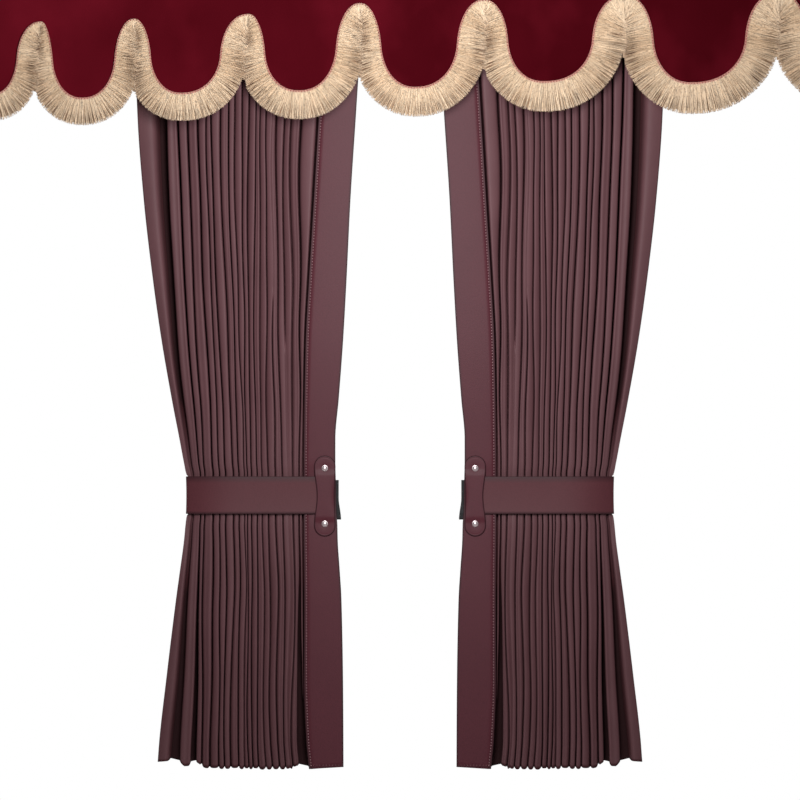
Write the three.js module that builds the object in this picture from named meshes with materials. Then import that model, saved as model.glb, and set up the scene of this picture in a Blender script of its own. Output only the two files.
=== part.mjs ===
// Truck cab curtain set: a scalloped plush valance with a cut fringe hangs in front of a mirrored
// pair of pleated side curtains. Each curtain has a smooth band sewn down its leading edge, and a
// tie belt that draws it in at the waist and runs under a riveted keeper tab.
// Millimetres, +Z up, and the viewer stands at -Y. The origin is on the valance's top edge, above
// the middle of the pair.
import * as THREE from "three";

// Sewn pieces stand this far apart, and a tie clears the cloth that it gathers by the larger gap.
const seamGap = 0.3;
const tieGap = 2;

// Valance

const plush = {
  thickness: 2.5,
  underlap: 4, // how far the plush runs on beneath the tape of the fringe
  rows: [0, 0.35, 1], // levels of each column, as shares of the way down
  quarterSteps: 6, // straight steps in each quarter round of the edge
  leastStep: 0.3, // and the least distance across between two columns
  fullness: 0.87, // below 1 the rounds are fuller than ellipses
  slant: 0.11, // and their sides lean by this share of their height
};

// The plush hangs straight at its top edge and in soft waves lower down.
const wave = { depth: 4, length: 212, phase: 0.7, ripple: 1, rippleLength: 91, fullDrop: 205 };

// The arches of the scalloped edge from left to right: the top of each and its reach to either side.
const arches = [
  { x: -645, z: -102, left: 0, right: 22 },
  { x: -556, z: -104, left: 27, right: 20 },
  { x: -448, z: -103, left: 30, right: 14 },
  { x: -332, z: -99.5, left: 24, right: 20.5 },
  { x: -189, z: -93.5, left: 35, right: 20 },
  { x: -50, z: -80, left: 29.5, right: 26 },
  { x: 105, z: -75.5, left: 33.5, right: 29.5 },
  { x: 281, z: -70, left: 40.5, right: 35 },
  { x: 473, z: -66, left: 41.5, right: 36 },
  { x: 685, z: -66, left: 44, right: 0 },
];

// The tongue between each pair of arches: its lowest point.
const tongues = [
  { x: -602, z: -192 },
  { x: -508, z: -193 },
  { x: -397, z: -198 },
  { x: -273.5, z: -192 },
  { x: -126, z: -189 },
  { x: 19, z: -184.5 },
  { x: 179.5, z: -177.5 },
  { x: 363, z: -179 },
  { x: 579, z: -178.5 },
];

const fringe = {
  locks: 216,
  tapeWidth: 5.5, // the woven tape that carries the locks
  tapeOverlap: 0.5, // the share of that width that lies on the plush inside the edge
  tapeThickness: 1.6,
  standOff: 0.5, // between the plush and the tape, whose steps differ a little
  lengthAtLeft: 31.6, // from the edge to the cut ends
  lengthAtRight: 40.4,
  sideways: 0.05, // locks that hang at a slant are this much shorter
  levelAtLeft: -0.1, // those that lie quite level are shorter still at the left
  levelAtRight: 0.2, // and longer at the right, where they close the wide arches
  levelPower: 6,
  meeting: 0.94, // where two sides of an arch meet, locks end at this share of the way
  fullness: 0.82, // width of a lock's cut end, as a share of the room it has there
  tipThickness: 4.5,
};

// Side curtains

const cloth = {
  thickness: 1,
  front: 25, // y of the fronts of the pleats where nothing gathers them
  bulge: 8, // a pleat's front is this power of the distance from its middle
  lean: 0.45, // pleats lie like shingles: each falls back to the outside by this share of its width
  leanWidth: 10, // wider ones no further than one of this width
  edgeBack: 5, // the flat strip at the outer edge turns back a little
  roundness: 12, // the gathered bundle is rounder at its outer side, from this distance out
  roundFrom: 190,
  roundReach: 75,
  tuck: 2.5, // the last slit comes forward behind the band within this distance of its sewn edge
  margin: 8, // the sewn margin behind the band ends this far from the leading edge
  hemRise: 10, // how much higher the hem is at the flared outer edge
  hemRiseShare: 0.25, // and the share of the pleats over which it comes down
};

// Where a pleat is sampled, from one slit (-1) to the next (1), and where the half pleat at the
// outer edge is.
const pleatSteps = [-1, -0.85, -0.5, 0.5, 0.85, 1];
const outerSteps = [0, 0.5, 0.82, 1];

// Levels of a curtain from the top to the hem. Distances are from the middle of the pair to the
// outer edge, to the sewn edge of the band and to the leading edge. The pleats are set back, less
// deep and rounded at the outer side where the belt draws them in.
const levels = [
  { z: -25, outer: 335, bandEdge: 89, leading: 42.5, setBack: 0, depth: 20, round: 0 },
  { z: -240, outer: 327, bandEdge: 103, leading: 56.5, setBack: 0, depth: 20, round: 0 },
  { z: -450, outer: 305.5, bandEdge: 115.5, leading: 68, setBack: 0, depth: 20, round: 0 },
  { z: -575, outer: 285, bandEdge: 119.6, leading: 76.5, setBack: 1, depth: 19, round: 0.2 },
  { z: -657, outer: 269.5, bandEdge: 120.5, leading: 80.8, setBack: 2.5, depth: 18, round: 0.95 },
  { z: -668.5, outer: 263.6, bandEdge: 120.5, leading: 80.4, setBack: 4, depth: 16, round: 1 },
  { z: -719.5, outer: 263.6, bandEdge: 120.5, leading: 79.4, setBack: 4, depth: 16, round: 1 },
  { z: -731, outer: 268.3, bandEdge: 120.5, leading: 78.3, setBack: 2.5, depth: 18, round: 0.95 },
  { z: -830, outer: 281, bandEdge: 119.8, leading: 73, setBack: 0.5, depth: 20, round: 0.1 },
  { z: -960, outer: 296.5, bandEdge: 119, leading: 71, setBack: 0, depth: 20, round: 0 },
  { z: -1035, outer: 303, bandEdge: 113.8, leading: 70.6, setBack: 0, depth: 20, round: 0 },
];

const waistZ = -694;

// How late the slits move towards their places at the waist, how soon they leave them, and how soon
// they narrow.
const gatherEase = { above: 4, below: 0.7, narrowing: 0.5 };

// The slits between the pleats: the place of each from the outer edge (0) to the band (1) at the
// top, the waist and the hem, its depth as a share of the pleat depth, and half its floor's width
// away from the waist and at it.
const slits = [
  { top: 0.132, waist: 0.05, hem: 0.119, share: 1, half: 4.4, gatheredHalf: 0.9 },
  { top: 0.221, waist: 0.115, hem: 0.239, share: 1, half: 1.2, gatheredHalf: 0.7 },
  { top: 0.276, waist: 0.149, hem: 0.293, share: 0.95, half: 0.8, gatheredHalf: 0.6 },
  { top: 0.332, waist: 0.222, hem: 0.346, share: 1, half: 0.8, gatheredHalf: 0.7 },
  { top: 0.376, waist: 0.277, hem: 0.407, share: 0.8, half: 0.6, gatheredHalf: 0.6 },
  { top: 0.404, waist: 0.328, hem: 0.44, share: 0.95, half: 0.7, gatheredHalf: 0.6 },
  { top: 0.454, waist: 0.397, hem: 0.48, share: 0.85, half: 0.6, gatheredHalf: 0.6 },
  { top: 0.498, waist: 0.444, hem: 0.534, share: 0.9, half: 0.6, gatheredHalf: 0.6 },
  { top: 0.532, waist: 0.487, hem: 0.57, share: 0.6, half: 0.5, gatheredHalf: 0.5 },
  { top: 0.576, waist: 0.519, hem: 0.601, share: 0.8, half: 0.6, gatheredHalf: 0.5 },
  { top: 0.609, waist: 0.551, hem: 0.632, share: 0.85, half: 0.6, gatheredHalf: 0.5 },
  { top: 0.652, waist: 0.602, hem: 0.668, share: 0.85, half: 0.6, gatheredHalf: 0.6 },
  { top: 0.683, waist: 0.641, hem: 0.715, share: 0.65, half: 0.6, gatheredHalf: 0.6 },
  { top: 0.716, waist: 0.696, hem: 0.755, share: 0.8, half: 0.6, gatheredHalf: 0.6 },
  { top: 0.765, waist: 0.765, hem: 0.802, share: 0.95, half: 0.8, gatheredHalf: 0.6 },
  { top: 0.804, waist: 0.819, hem: 0.849, share: 0.85, half: 0.6, gatheredHalf: 0.6 },
  { top: 0.842, waist: 0.905, hem: 0.896, share: 0.9, half: 0.7, gatheredHalf: 0.6 },
  { top: 0.898, waist: 0.95, hem: 0.95, share: 0.72, half: 0.9, gatheredHalf: 0.6 },
  { top: 0.985, waist: 0.985, hem: 0.988, share: 0.5, half: 0.6, gatheredHalf: 0.5 },
];

const band = { thickness: 2, proud: 0.6, crown: 0.5 };

const belt = {
  thickness: 2.2,
  top: -670.5,
  bottom: -717.5,
  outer: 267.8, // from the middle of the pair to the outside of the bend
  frontEnd: 86,
  frontCorner: 4,
  backCorner: 9,
  backEnd: 90,
  stepOut: 130, // where the back run starts towards the band, and where it reaches it
  stepIn: 112,
  stepCorner: 12,
  arcSteps: 4,
  roundSteps: 5, // straight steps in the rounded end of the front run
  roundLead: 10, // which start this far past the place from which the bundle is round
};

const closure = {
  thickness: 1.8,
  top: -675,
  bottom: -724.5,
  sewnEnd: 104,
  reach: 3.4, // past the leading edge
  flare: 2.9, // and further at its foot
  curl: 2,
  rows: [0, 0.45, 1], // its levels, as shares of the way down
  columns: [0, 0.6, 0.85, 1], // and its columns, as shares of the way out
};

const tab = {
  thickness: 1.8,
  middle: 94,
  centre: -695,
  halfLength: 50.5,
  endRadius: 13.4,
  neckHalf: 11.2,
  neckShift: 1.2, // the neck lies this much nearer to the leading edge than the round ends
  rise: 30.5, // the tab leaves the band at this distance above and below its centre
  level: 25.5, // and lies on the belt within this one
  endClear: 2, // how far its ends stand in front of the band at the waist
  endRows: [1, 0.97, 0.9, 0.81, 0.72], // levels of a round end, as shares of the half length
};

const stud = {
  radius: 3.9,
  domeRadius: 3.666,
  height: 2.2,
  rimHeight: 0.6,
  domeRows: [0.3, 0.6, 0.85], // levels of the dome, as shares of its quarter turn
  spacing: 69.4,
  segments: 14,
};

// Materials

const burgundyPlush = new THREE.MeshStandardMaterial({ color: 0x5a0b16, roughness: 0.95 });
const creamYarn = new THREE.MeshStandardMaterial({ color: 0xdcbf9f, roughness: 0.9 });
const mauveCloth = new THREE.MeshStandardMaterial({ color: 0x6f4d53, roughness: 0.85 });
const mauveLeatherette = new THREE.MeshStandardMaterial({ color: 0x6b464d, roughness: 0.6 });
const blackTape = new THREE.MeshStandardMaterial({ color: 0x1c1b1c, roughness: 0.8 });
const nickel = new THREE.MeshStandardMaterial({ color: 0xd8c8ca, roughness: 0.25, metalness: 1 });

const named = (name, geometry, material) => {
  const mesh = new THREE.Mesh(geometry, material);
  mesh.name = name;
  return mesh;
};

const point = (x, y, z) => new THREE.Vector3(x, y, z);

// A geometry of flat triangles on shared points.
function indexedGeometry(points, triangles) {
  const geometry = new THREE.BufferGeometry().setFromPoints(points);
  geometry.setIndex(triangles);
  geometry.computeVertexNormals();
  return geometry;
}

// A closed sheet between two grids of points with rows from the top down and columns from left to
// right. The front grid faces -Y.
function closedSheet(front, back) {
  const rows = front.length;
  const columns = front[0].length;
  const behind = rows * columns;
  const at = (row, column) => row * columns + column;
  const triangles = [];
  for (let row = 0; row + 1 < rows; row++) {
    for (let column = 0; column + 1 < columns; column++) {
      const topLeft = at(row, column);
      const topRight = at(row, column + 1);
      const lowLeft = at(row + 1, column);
      const lowRight = at(row + 1, column + 1);
      triangles.push(topLeft, lowLeft, lowRight, topLeft, lowRight, topRight);
      triangles.push(behind + topLeft, behind + lowRight, behind + lowLeft);
      triangles.push(behind + topLeft, behind + topRight, behind + lowRight);
    }
  }
  const rim = [];
  for (let row = 0; row + 1 < rows; row++) rim.push(at(row, 0));
  for (let column = 0; column + 1 < columns; column++) rim.push(at(rows - 1, column));
  for (let row = rows - 1; row > 0; row--) rim.push(at(row, columns - 1));
  for (let column = columns - 1; column > 0; column--) rim.push(at(0, column));
  rim.forEach((here, i) => {
    const next = rim[(i + 1) % rim.length];
    triangles.push(next, here, behind + here, next, behind + here, behind + next);
  });
  return indexedGeometry([...front.flat(), ...back.flat()], triangles);
}

// How far the plush stands behind its hanging plane at a place.
function waveAt(x, z) {
  const down = Math.min(1, -z / wave.fullDrop);
  const broad = wave.depth * Math.sin((2 * Math.PI * x) / wave.length + wave.phase);
  const fine = wave.ripple * Math.sin((2 * Math.PI * x) / wave.rippleLength);
  return down * (broad + fine);
}

// A quarter of an arch or a tongue in x and z, from its top or lowest point to halfway up a side.
class QuarterRound extends THREE.Curve {
  constructor(place, toSide, reach, middle, backward) {
    super();
    Object.assign(this, { place, toSide, reach, middle, backward });
  }

  getPoint(share, target = new THREE.Vector2()) {
    const turn = ((this.backward ? 1 - share : share) * Math.PI) / 2;
    const half = this.place.z - this.middle;
    const lead = plush.slant * Math.abs(half);
    const across = (this.reach - lead) * Math.sin(turn) ** plush.fullness + lead * (1 - Math.cos(turn));
    const rise = half * Math.max(0, Math.cos(turn)) ** plush.fullness;
    return target.set(this.place.x + this.toSide * across, this.middle + rise);
  }
}

// The scalloped edge as one curve: each side of a tongue is a quarter of the arch and a quarter of
// the tongue, which meet on a slant halfway up.
function scallopEdge() {
  const edge = new THREE.CurvePath();
  const add = (...round) => edge.add(new QuarterRound(...round));
  tongues.forEach((tongue, i) => {
    const from = arches[i];
    const to = arches[i + 1];
    const fromTurn = (from.z + tongue.z) / 2;
    const toTurn = (to.z + tongue.z) / 2;
    add(from, 1, from.right, fromTurn, false);
    add(tongue, -1, tongue.x - from.x - from.right, fromTurn, true);
    add(tongue, 1, to.x - to.left - tongue.x, toTurn, false);
    add(to, -1, to.left, toTurn, true);
  });
  return edge;
}

// The direction out of the plush, square to its edge, for a direction along the edge.
const outOf = (along) => new THREE.Vector2(along.y, -along.x).normalize();

// A place beside the edge in the frame of the part.
function besideEdge(place, out, distance, depth) {
  const x = place.x + out.x * distance;
  const z = place.y + out.y * distance;
  return point(x, depth + waveAt(x, z), z);
}

function valancePanel(edge) {
  const beneath = edge.curves.flatMap((curve, i) => {
    const shares = Array.from({ length: plush.quarterSteps + 1 }, (_, step) => step / plush.quarterSteps);
    return shares
      .slice(i ? 1 : 0)
      .map((share) => curve.getPoint(share).addScaledVector(outOf(curve.getTangent(share)), plush.underlap));
  });
  beneath[0].x = arches[0].x;
  beneath.at(-1).x = arches.at(-1).x;
  // In a narrow arch the underlap turns back on itself, and those points are left out.
  const lower = [];
  for (const place of beneath) {
    if (!lower.length || place.x > lower.at(-1).x + plush.leastStep) lower.push(place);
  }
  const grid = (depth) =>
    plush.rows.map((share) => lower.map(({ x, y }) => point(x, depth + waveAt(x, share * y), share * y)));
  return closedSheet(grid(-plush.thickness / 2), grid(plush.thickness / 2));
}

// The greatest distance square to the edge before another stretch of the edge is nearer.
function roomBeside(place, out, others) {
  return others.reduce((least, other) => {
    const across = other.clone().sub(place);
    const ahead = 2 * across.dot(out);
    return ahead > 1e-6 ? Math.min(least, across.lengthSq() / ahead) : least;
  }, Infinity);
}

// The fringe: a tape along the edge with one tapered lock on each of its steps.
function valanceFringe(edge) {
  const places = edge.getSpacedPoints(fringe.locks);
  const outs = places.map((_, i) => outOf(edge.getTangent(i / fringe.locks)));
  const tapeBack = -plush.thickness / 2 - fringe.standOff;
  const tapeFront = tapeBack - fringe.tapeThickness;
  const inner = -fringe.tapeOverlap;
  const outer = fringe.tapeWidth - fringe.tapeOverlap;
  const points = [];
  const triangles = [];
  const quad = (a, b, c, d) => triangles.push(a, b, c, a, c, d);
  places.forEach((place, i) => {
    points.push(besideEdge(place, outs[i], inner, tapeFront), besideEdge(place, outs[i], inner, tapeBack));
    points.push(besideEdge(place, outs[i], outer, tapeFront), besideEdge(place, outs[i], outer, tapeBack));
  });
  const corners = (i) => [4 * i, 4 * i + 1, 4 * i + 2, 4 * i + 3];
  const [innerFront, innerBack, outerFront, outerBack] = corners(0);
  quad(innerFront, innerBack, outerBack, outerFront);
  for (let i = 0; i < fringe.locks; i++) {
    const [startIn, startInBack, startOut, startOutBack] = corners(i);
    const [endIn, endInBack, endOut, endOutBack] = corners(i + 1);
    quad(startIn, startOut, endOut, endIn);
    quad(startInBack, endInBack, endOutBack, startOutBack);
    quad(startIn, endIn, endInBack, startInBack);
    const tip = points.length;
    points.push(...lockTip(places, outs, i, (tapeFront + tapeBack) / 2));
    quad(startOut, tip, tip + 1, endOut);
    quad(startOutBack, endOutBack, tip + 3, tip + 2);
    quad(startOut, startOutBack, tip + 2, tip);
    quad(endOut, tip + 1, tip + 3, endOutBack);
    quad(tip, tip + 2, tip + 3, tip + 1);
  }
  const [lastIn, lastInBack, lastOut, lastOutBack] = corners(fringe.locks);
  quad(lastIn, lastOut, lastOutBack, lastInBack);
  return indexedGeometry(points, triangles);
}

// The four corners of a lock's cut end: front left, front right, back left and back right.
function lockTip(places, outs, i, depth) {
  const middle = places[i].clone().add(places[i + 1]).multiplyScalar(0.5);
  const out = outs[i].clone().add(outs[i + 1]).normalize();
  const along = (middle.x - arches[0].x) / (arches.at(-1).x - arches[0].x);
  const straight = THREE.MathUtils.lerp(fringe.lengthAtLeft, fringe.lengthAtRight, along);
  const slanting = Math.abs(out.x);
  const level = THREE.MathUtils.lerp(fringe.levelAtLeft, fringe.levelAtRight, along);
  const full = straight * (1 - fringe.sideways * slanting + level * slanting ** fringe.levelPower);
  const toEnd = out.x < 0 ? middle.x - arches[0].x : arches.at(-1).x - middle.x;
  const room = Math.min(roomBeside(middle, out, places), toEnd / Math.max(1e-3, Math.abs(out.x)));
  const length = Math.min(full, fringe.meeting * room);
  const end = (k) => {
    const corner = places[k].clone().addScaledVector(outs[k], length);
    const centre = middle.clone().addScaledVector(out, length);
    return centre.lerp(corner, fringe.fullness);
  };
  const half = fringe.tipThickness / 2;
  return [-half, half].flatMap((shift) =>
    [i, i + 1].map((k) => besideEdge(end(k), out, 0, depth + shift)),
  );
}

// Between which two of its places a slit is at a height, and the share of the way that it has come.
function gatherAt(z) {
  const above = z >= waistZ;
  const [from, to] = above ? [levels[0].z, waistZ] : [waistZ, levels.at(-1).z];
  const share = ((from - z) / (from - to)) ** (above ? gatherEase.above : gatherEase.below);
  return above ? { upper: "top", lower: "waist", share } : { upper: "waist", lower: "hem", share };
}

// How far the gathered bundle has turned back at a place across the curtain.
function roundBack(x) {
  const out = THREE.MathUtils.clamp((-x - cloth.roundFrom) / cloth.roundReach, 0, 1);
  return cloth.roundness * out ** 3;
}

// The front line of a curtain's cloth at one level, from the outer edge to the margin behind the
// band.
function frontLine(level) {
  const { upper, lower, share } = gatherAt(level.z);
  const gathered = upper === "top" ? share ** gatherEase.narrowing : 1 - share;
  const front = cloth.front + level.setBack;
  const across = (place) => -level.outer + place * (level.outer - level.bandEdge);
  const floors = slits.map((slit) => ({
    x: across(THREE.MathUtils.lerp(slit[upper], slit[lower], share)),
    y: level.depth * slit.share,
    half: THREE.MathUtils.lerp(slit.half, slit.gatheredHalf, gathered),
  }));
  const line = outerSteps.map((step) => ({
    x: THREE.MathUtils.lerp(-level.outer, floors[0].x - floors[0].half, step),
    y: front + floors[0].y * step ** cloth.bulge + cloth.edgeBack * (1 - level.round) * (1 - step) ** 2,
  }));
  for (let i = 0; i + 1 < floors.length; i++) {
    const start = floors[i].x + floors[i].half;
    const end = floors[i + 1].x - floors[i + 1].half;
    for (const step of pleatSteps) {
      const depth = step < 0 ? floors[i].y : floors[i + 1].y;
      const inSlit = Math.abs(step) ** cloth.bulge;
      const lean = cloth.lean * Math.min(cloth.leanWidth, end - start) * ((1 - step) / 2) ** 2;
      line.push({
        x: THREE.MathUtils.lerp(start, end, (step + 1) / 2),
        y: front + depth * inSlit + lean * (1 - inSlit),
      });
    }
  }
  const last = floors.at(-1);
  const behindBand = front - band.proud + band.thickness + seamGap;
  line.push({ x: last.x + last.half, y: front + last.y });
  line.push({ x: -level.bandEdge + cloth.tuck, y: behindBand });
  line.push({ x: -level.leading - cloth.margin, y: behindBand });
  return line.map(({ x, y }) => {
    const shallow = 1 - Math.min(1, (y - front) / level.depth);
    return { x, y: y + level.round * shallow * roundBack(x) };
  });
}

// A line of points set back by the cloth's thickness, square to its segments. At a sharp turn the
// mitre is no longer than this limit lets it be.
const mitreLimit = 0.5;

function setBehind(line, thickness) {
  const backward = line.slice(1).map((next, i) => {
    const along = new THREE.Vector2(next.x - line[i].x, next.y - line[i].y).normalize();
    return new THREE.Vector2(-along.y, along.x);
  });
  return line.map(({ x, y }, i) => {
    const before = backward[Math.max(0, i - 1)];
    const after = backward[Math.min(i, backward.length - 1)];
    const mitre = before.clone().add(after);
    mitre.multiplyScalar(thickness / Math.max(mitreLimit, 1 + before.dot(after)));
    return { x: x + mitre.x, y: y + mitre.y };
  });
}

// The level's height at a place across the curtain: the hem rises towards the outer edge.
function heightAt(level, x) {
  if (level !== levels.at(-1)) return level.z;
  const place = (x + level.outer) / (level.outer - level.bandEdge);
  return level.z + cloth.hemRise * Math.max(0, 1 - place / cloth.hemRiseShare) ** 2;
}

function curtainCloth() {
  const lines = levels.map(frontLine);
  const grid = (rows) => rows.map((line, i) => line.map(({ x, y }) => point(x, y, heightAt(levels[i], x))));
  return closedSheet(grid(lines), grid(lines.map((line) => setBehind(line, cloth.thickness))));
}

function edgeBand() {
  const grid = (behind) =>
    levels.map(({ z, bandEdge, leading, setBack }) => {
      const depth = cloth.front + setBack - band.proud + behind;
      const middle = -(bandEdge + leading) / 2;
      return [point(-bandEdge, depth, z), point(middle, depth - band.crown, z), point(-leading, depth, z)];
    });
  return closedSheet(grid(0), grid(band.thickness));
}

// A line of straight runs with rounded corners, as points in x and y.
function roundedLine(corners, arcSteps) {
  const line = [corners[0].at];
  for (let i = 1; i + 1 < corners.length; i++) {
    const { at, radius } = corners[i];
    const toBefore = corners[i - 1].at.clone().sub(at).normalize();
    const toAfter = corners[i + 1].at.clone().sub(at).normalize();
    const half = toBefore.angleTo(toAfter) / 2;
    const start = at.clone().addScaledVector(toBefore, radius / Math.tan(half));
    const end = at.clone().addScaledVector(toAfter, radius / Math.tan(half));
    const centre = at.clone().addScaledVector(toBefore.add(toAfter).normalize(), radius / Math.sin(half));
    const from = start.clone().sub(centre);
    const to = end.clone().sub(centre);
    const turn = Math.atan2(from.cross(to), from.dot(to));
    for (let step = 0; step <= arcSteps; step++) {
      line.push(from.clone().rotateAround(new THREE.Vector2(), (turn * step) / arcSteps).add(centre));
    }
  }
  line.push(corners.at(-1).at);
  return line;
}

const waist = levels.find(({ z }) => z < waistZ);
const waistFront = cloth.front + waist.setBack;
const marginBack = waistFront - band.proud + band.thickness + seamGap + cloth.thickness;
const closureFront = marginBack + tieGap;

// The belt in plan: in front of the pleats, round the outer edge, and along their backs to the band.
function tieBelt() {
  const frontRun = waistFront - tieGap - belt.thickness / 2;
  const backRun = waistFront + waist.depth + cloth.thickness + tieGap + belt.thickness / 2;
  const endRun = closureFront + closure.thickness + seamGap + belt.thickness / 2;
  const bend = -belt.outer + belt.thickness / 2;
  const corner = (x, y, radius) => ({ at: new THREE.Vector2(x, y), radius });
  const middle = roundedLine(
    [
      corner(-belt.frontEnd, frontRun),
      corner(bend, frontRun, belt.frontCorner),
      corner(bend, backRun, belt.backCorner),
      corner(-belt.stepOut, backRun, belt.stepCorner),
      corner(-belt.stepIn, endRun, belt.stepCorner),
      corner(-belt.backEnd, endRun),
    ],
    belt.arcSteps,
  );
  const roundStart = -cloth.roundFrom - belt.roundLead;
  const rounded = Array.from({ length: belt.roundSteps }, (_, i) => {
    const share = i / belt.roundSteps;
    return new THREE.Vector2(THREE.MathUtils.lerp(roundStart, middle[1].x, share), frontRun);
  });
  middle.splice(1, 0, ...rounded);
  for (const place of middle) {
    const nearFront = THREE.MathUtils.clamp((backRun - place.y) / (backRun - frontRun), 0, 1);
    place.y += nearFront * roundBack(place.x);
  }
  const outline = [
    ...setBehind(middle, belt.thickness / 2),
    ...setBehind(middle, -belt.thickness / 2).reverse(),
  ].map(({ x, y }) => new THREE.Vector2(x, y));
  const geometry = new THREE.ExtrudeGeometry(new THREE.Shape(outline), {
    depth: belt.top - belt.bottom,
    bevelEnabled: false,
  });
  return geometry.translate(0, 0, belt.bottom);
}

// The end of the tie behind the band: it shows past the leading edge, where it curls to the front
// and flares a little lower down.
function tieClosure() {
  const grid = (behind) =>
    closure.rows.map((down) => {
      const z = THREE.MathUtils.lerp(closure.top, closure.bottom, down);
      const reach = closure.reach + closure.flare * down ** 2;
      return closure.columns.map((out) => {
        const x = THREE.MathUtils.lerp(-closure.sewnEnd, -waist.leading + reach, out);
        return point(x, closureFront + behind - closure.curl * out ** 4, z);
      });
    });
  return closedSheet(grid(0), grid(closure.thickness));
}

const tabBase = waistFront - band.proud - band.crown - tab.endClear;
const tabRaised = waistFront - tieGap - belt.thickness - seamGap;

// Back of the keeper tab at a height above or below its centre.
function tabBack(height) {
  const onBelt = 1 - THREE.MathUtils.smoothstep(Math.abs(height), tab.level, tab.rise);
  return THREE.MathUtils.lerp(tabBase, tabRaised, onBelt);
}

// The two sides of the tab at a height: round ends and a slightly drawn-in neck.
function tabSides(height) {
  const centreOfEnd = tab.halfLength - tab.endRadius;
  const past = Math.max(0, Math.abs(height) - centreOfEnd);
  const round = Math.sqrt(Math.max(1, tab.endRadius ** 2 - past ** 2));
  const neck = past ? 0 : Math.cos((Math.PI / 2) * (height / centreOfEnd)) ** 2;
  const half = THREE.MathUtils.lerp(round, tab.neckHalf, neck);
  return [-half, half].map((side) => -tab.middle + tab.neckShift * neck + side);
}

function keeperTab() {
  const ends = tab.endRows.map((share) => share * tab.halfLength);
  const upper = [...ends, tab.rise, tab.level, tab.level / 2];
  const heights = [...upper, 0, ...upper.map((height) => -height).reverse()];
  const grid = (behind) =>
    heights.map((height) => {
      const y = tabBack(height) - tab.thickness + behind;
      return tabSides(height).map((x) => point(x, y, tab.centre + height));
    });
  return closedSheet(grid(0), grid(tab.thickness));
}

// A domed stud head on a thin rim, turned about the axis that faces the viewer.
function studHead() {
  const profile = [new THREE.Vector2(0, 0), new THREE.Vector2(stud.radius, 0)];
  profile.push(new THREE.Vector2(stud.radius, stud.rimHeight));
  for (const share of stud.domeRows) {
    const angle = (share * Math.PI) / 2;
    profile.push(
      new THREE.Vector2(
        stud.domeRadius * Math.cos(angle),
        stud.rimHeight + (stud.height - stud.rimHeight) * Math.sin(angle),
      ),
    );
  }
  profile.push(new THREE.Vector2(0, stud.height));
  return new THREE.LatheGeometry(profile, stud.segments);
}

function studMesh(name, side) {
  const mesh = named(name, studHead(), nickel);
  const height = (side * stud.spacing) / 2;
  mesh.rotation.x = Math.PI;
  mesh.position.set(-tab.middle, tabBack(height) - tab.thickness - seamGap, tab.centre + height);
  return mesh;
}

// One side curtain with its tie, as the left one of the pair.
function sideCurtain(side) {
  const group = new THREE.Group();
  group.add(
    named(`${side}_cloth`, curtainCloth(), mauveCloth),
    named(`${side}_edge_band`, edgeBand(), mauveLeatherette),
    named(`${side}_tie_belt`, tieBelt(), mauveLeatherette),
    named(`${side}_tie_closure`, tieClosure(), blackTape),
    named(`${side}_keeper_tab`, keeperTab(), mauveLeatherette),
    studMesh(`${side}_stud_upper`, 1),
    studMesh(`${side}_stud_lower`, -1),
  );
  return group;
}

const curtainSet = new THREE.Group();
const edge = scallopEdge();
curtainSet.add(named("valance_panel", valancePanel(edge), burgundyPlush));
curtainSet.add(named("valance_fringe", valanceFringe(edge), creamYarn));
const rightCurtain = sideCurtain("right");
rightCurtain.scale.x = -1;
curtainSet.add(sideCurtain("left"), rightCurtain);

export default curtainSet;
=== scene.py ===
import math

import bmesh
import bpy
import numpy as np
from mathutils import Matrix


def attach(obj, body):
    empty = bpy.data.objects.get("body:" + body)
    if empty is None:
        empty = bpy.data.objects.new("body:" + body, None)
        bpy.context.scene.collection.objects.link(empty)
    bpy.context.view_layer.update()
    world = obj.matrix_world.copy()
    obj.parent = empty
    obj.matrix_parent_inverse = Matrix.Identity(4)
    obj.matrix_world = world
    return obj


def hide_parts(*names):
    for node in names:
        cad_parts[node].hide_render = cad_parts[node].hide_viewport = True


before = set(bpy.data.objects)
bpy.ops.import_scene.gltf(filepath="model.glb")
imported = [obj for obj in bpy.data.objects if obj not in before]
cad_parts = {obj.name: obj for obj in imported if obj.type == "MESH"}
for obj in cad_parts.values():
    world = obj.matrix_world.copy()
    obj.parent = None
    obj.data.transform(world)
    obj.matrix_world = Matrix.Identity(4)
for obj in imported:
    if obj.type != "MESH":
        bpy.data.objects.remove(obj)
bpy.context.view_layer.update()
mm = 0.001
print("frame loaded:", len(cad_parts), "solids")


class Sock:  # a node's output, so that maths on it reads as plain Python
    def __init__(self, tree, socket):
        self.tree = tree
        self.socket = socket

    def maths(self, operation, first, second=0.0):
        return self.tree.node("ShaderNodeMath", {0: first, 1: second}, operation=operation)

    def pick(self, name):
        return Sock(self.tree, self.socket.node.outputs[name])

    def sine(self):
        return self.maths("SINE", self)

    def __add__(self, other):
        return self.maths("ADD", self, other)

    def __radd__(self, other):
        return self.maths("ADD", other, self)

    def __rsub__(self, other):
        return self.maths("SUBTRACT", other, self)

    def __mul__(self, other):
        return self.maths("MULTIPLY", self, other)


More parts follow.
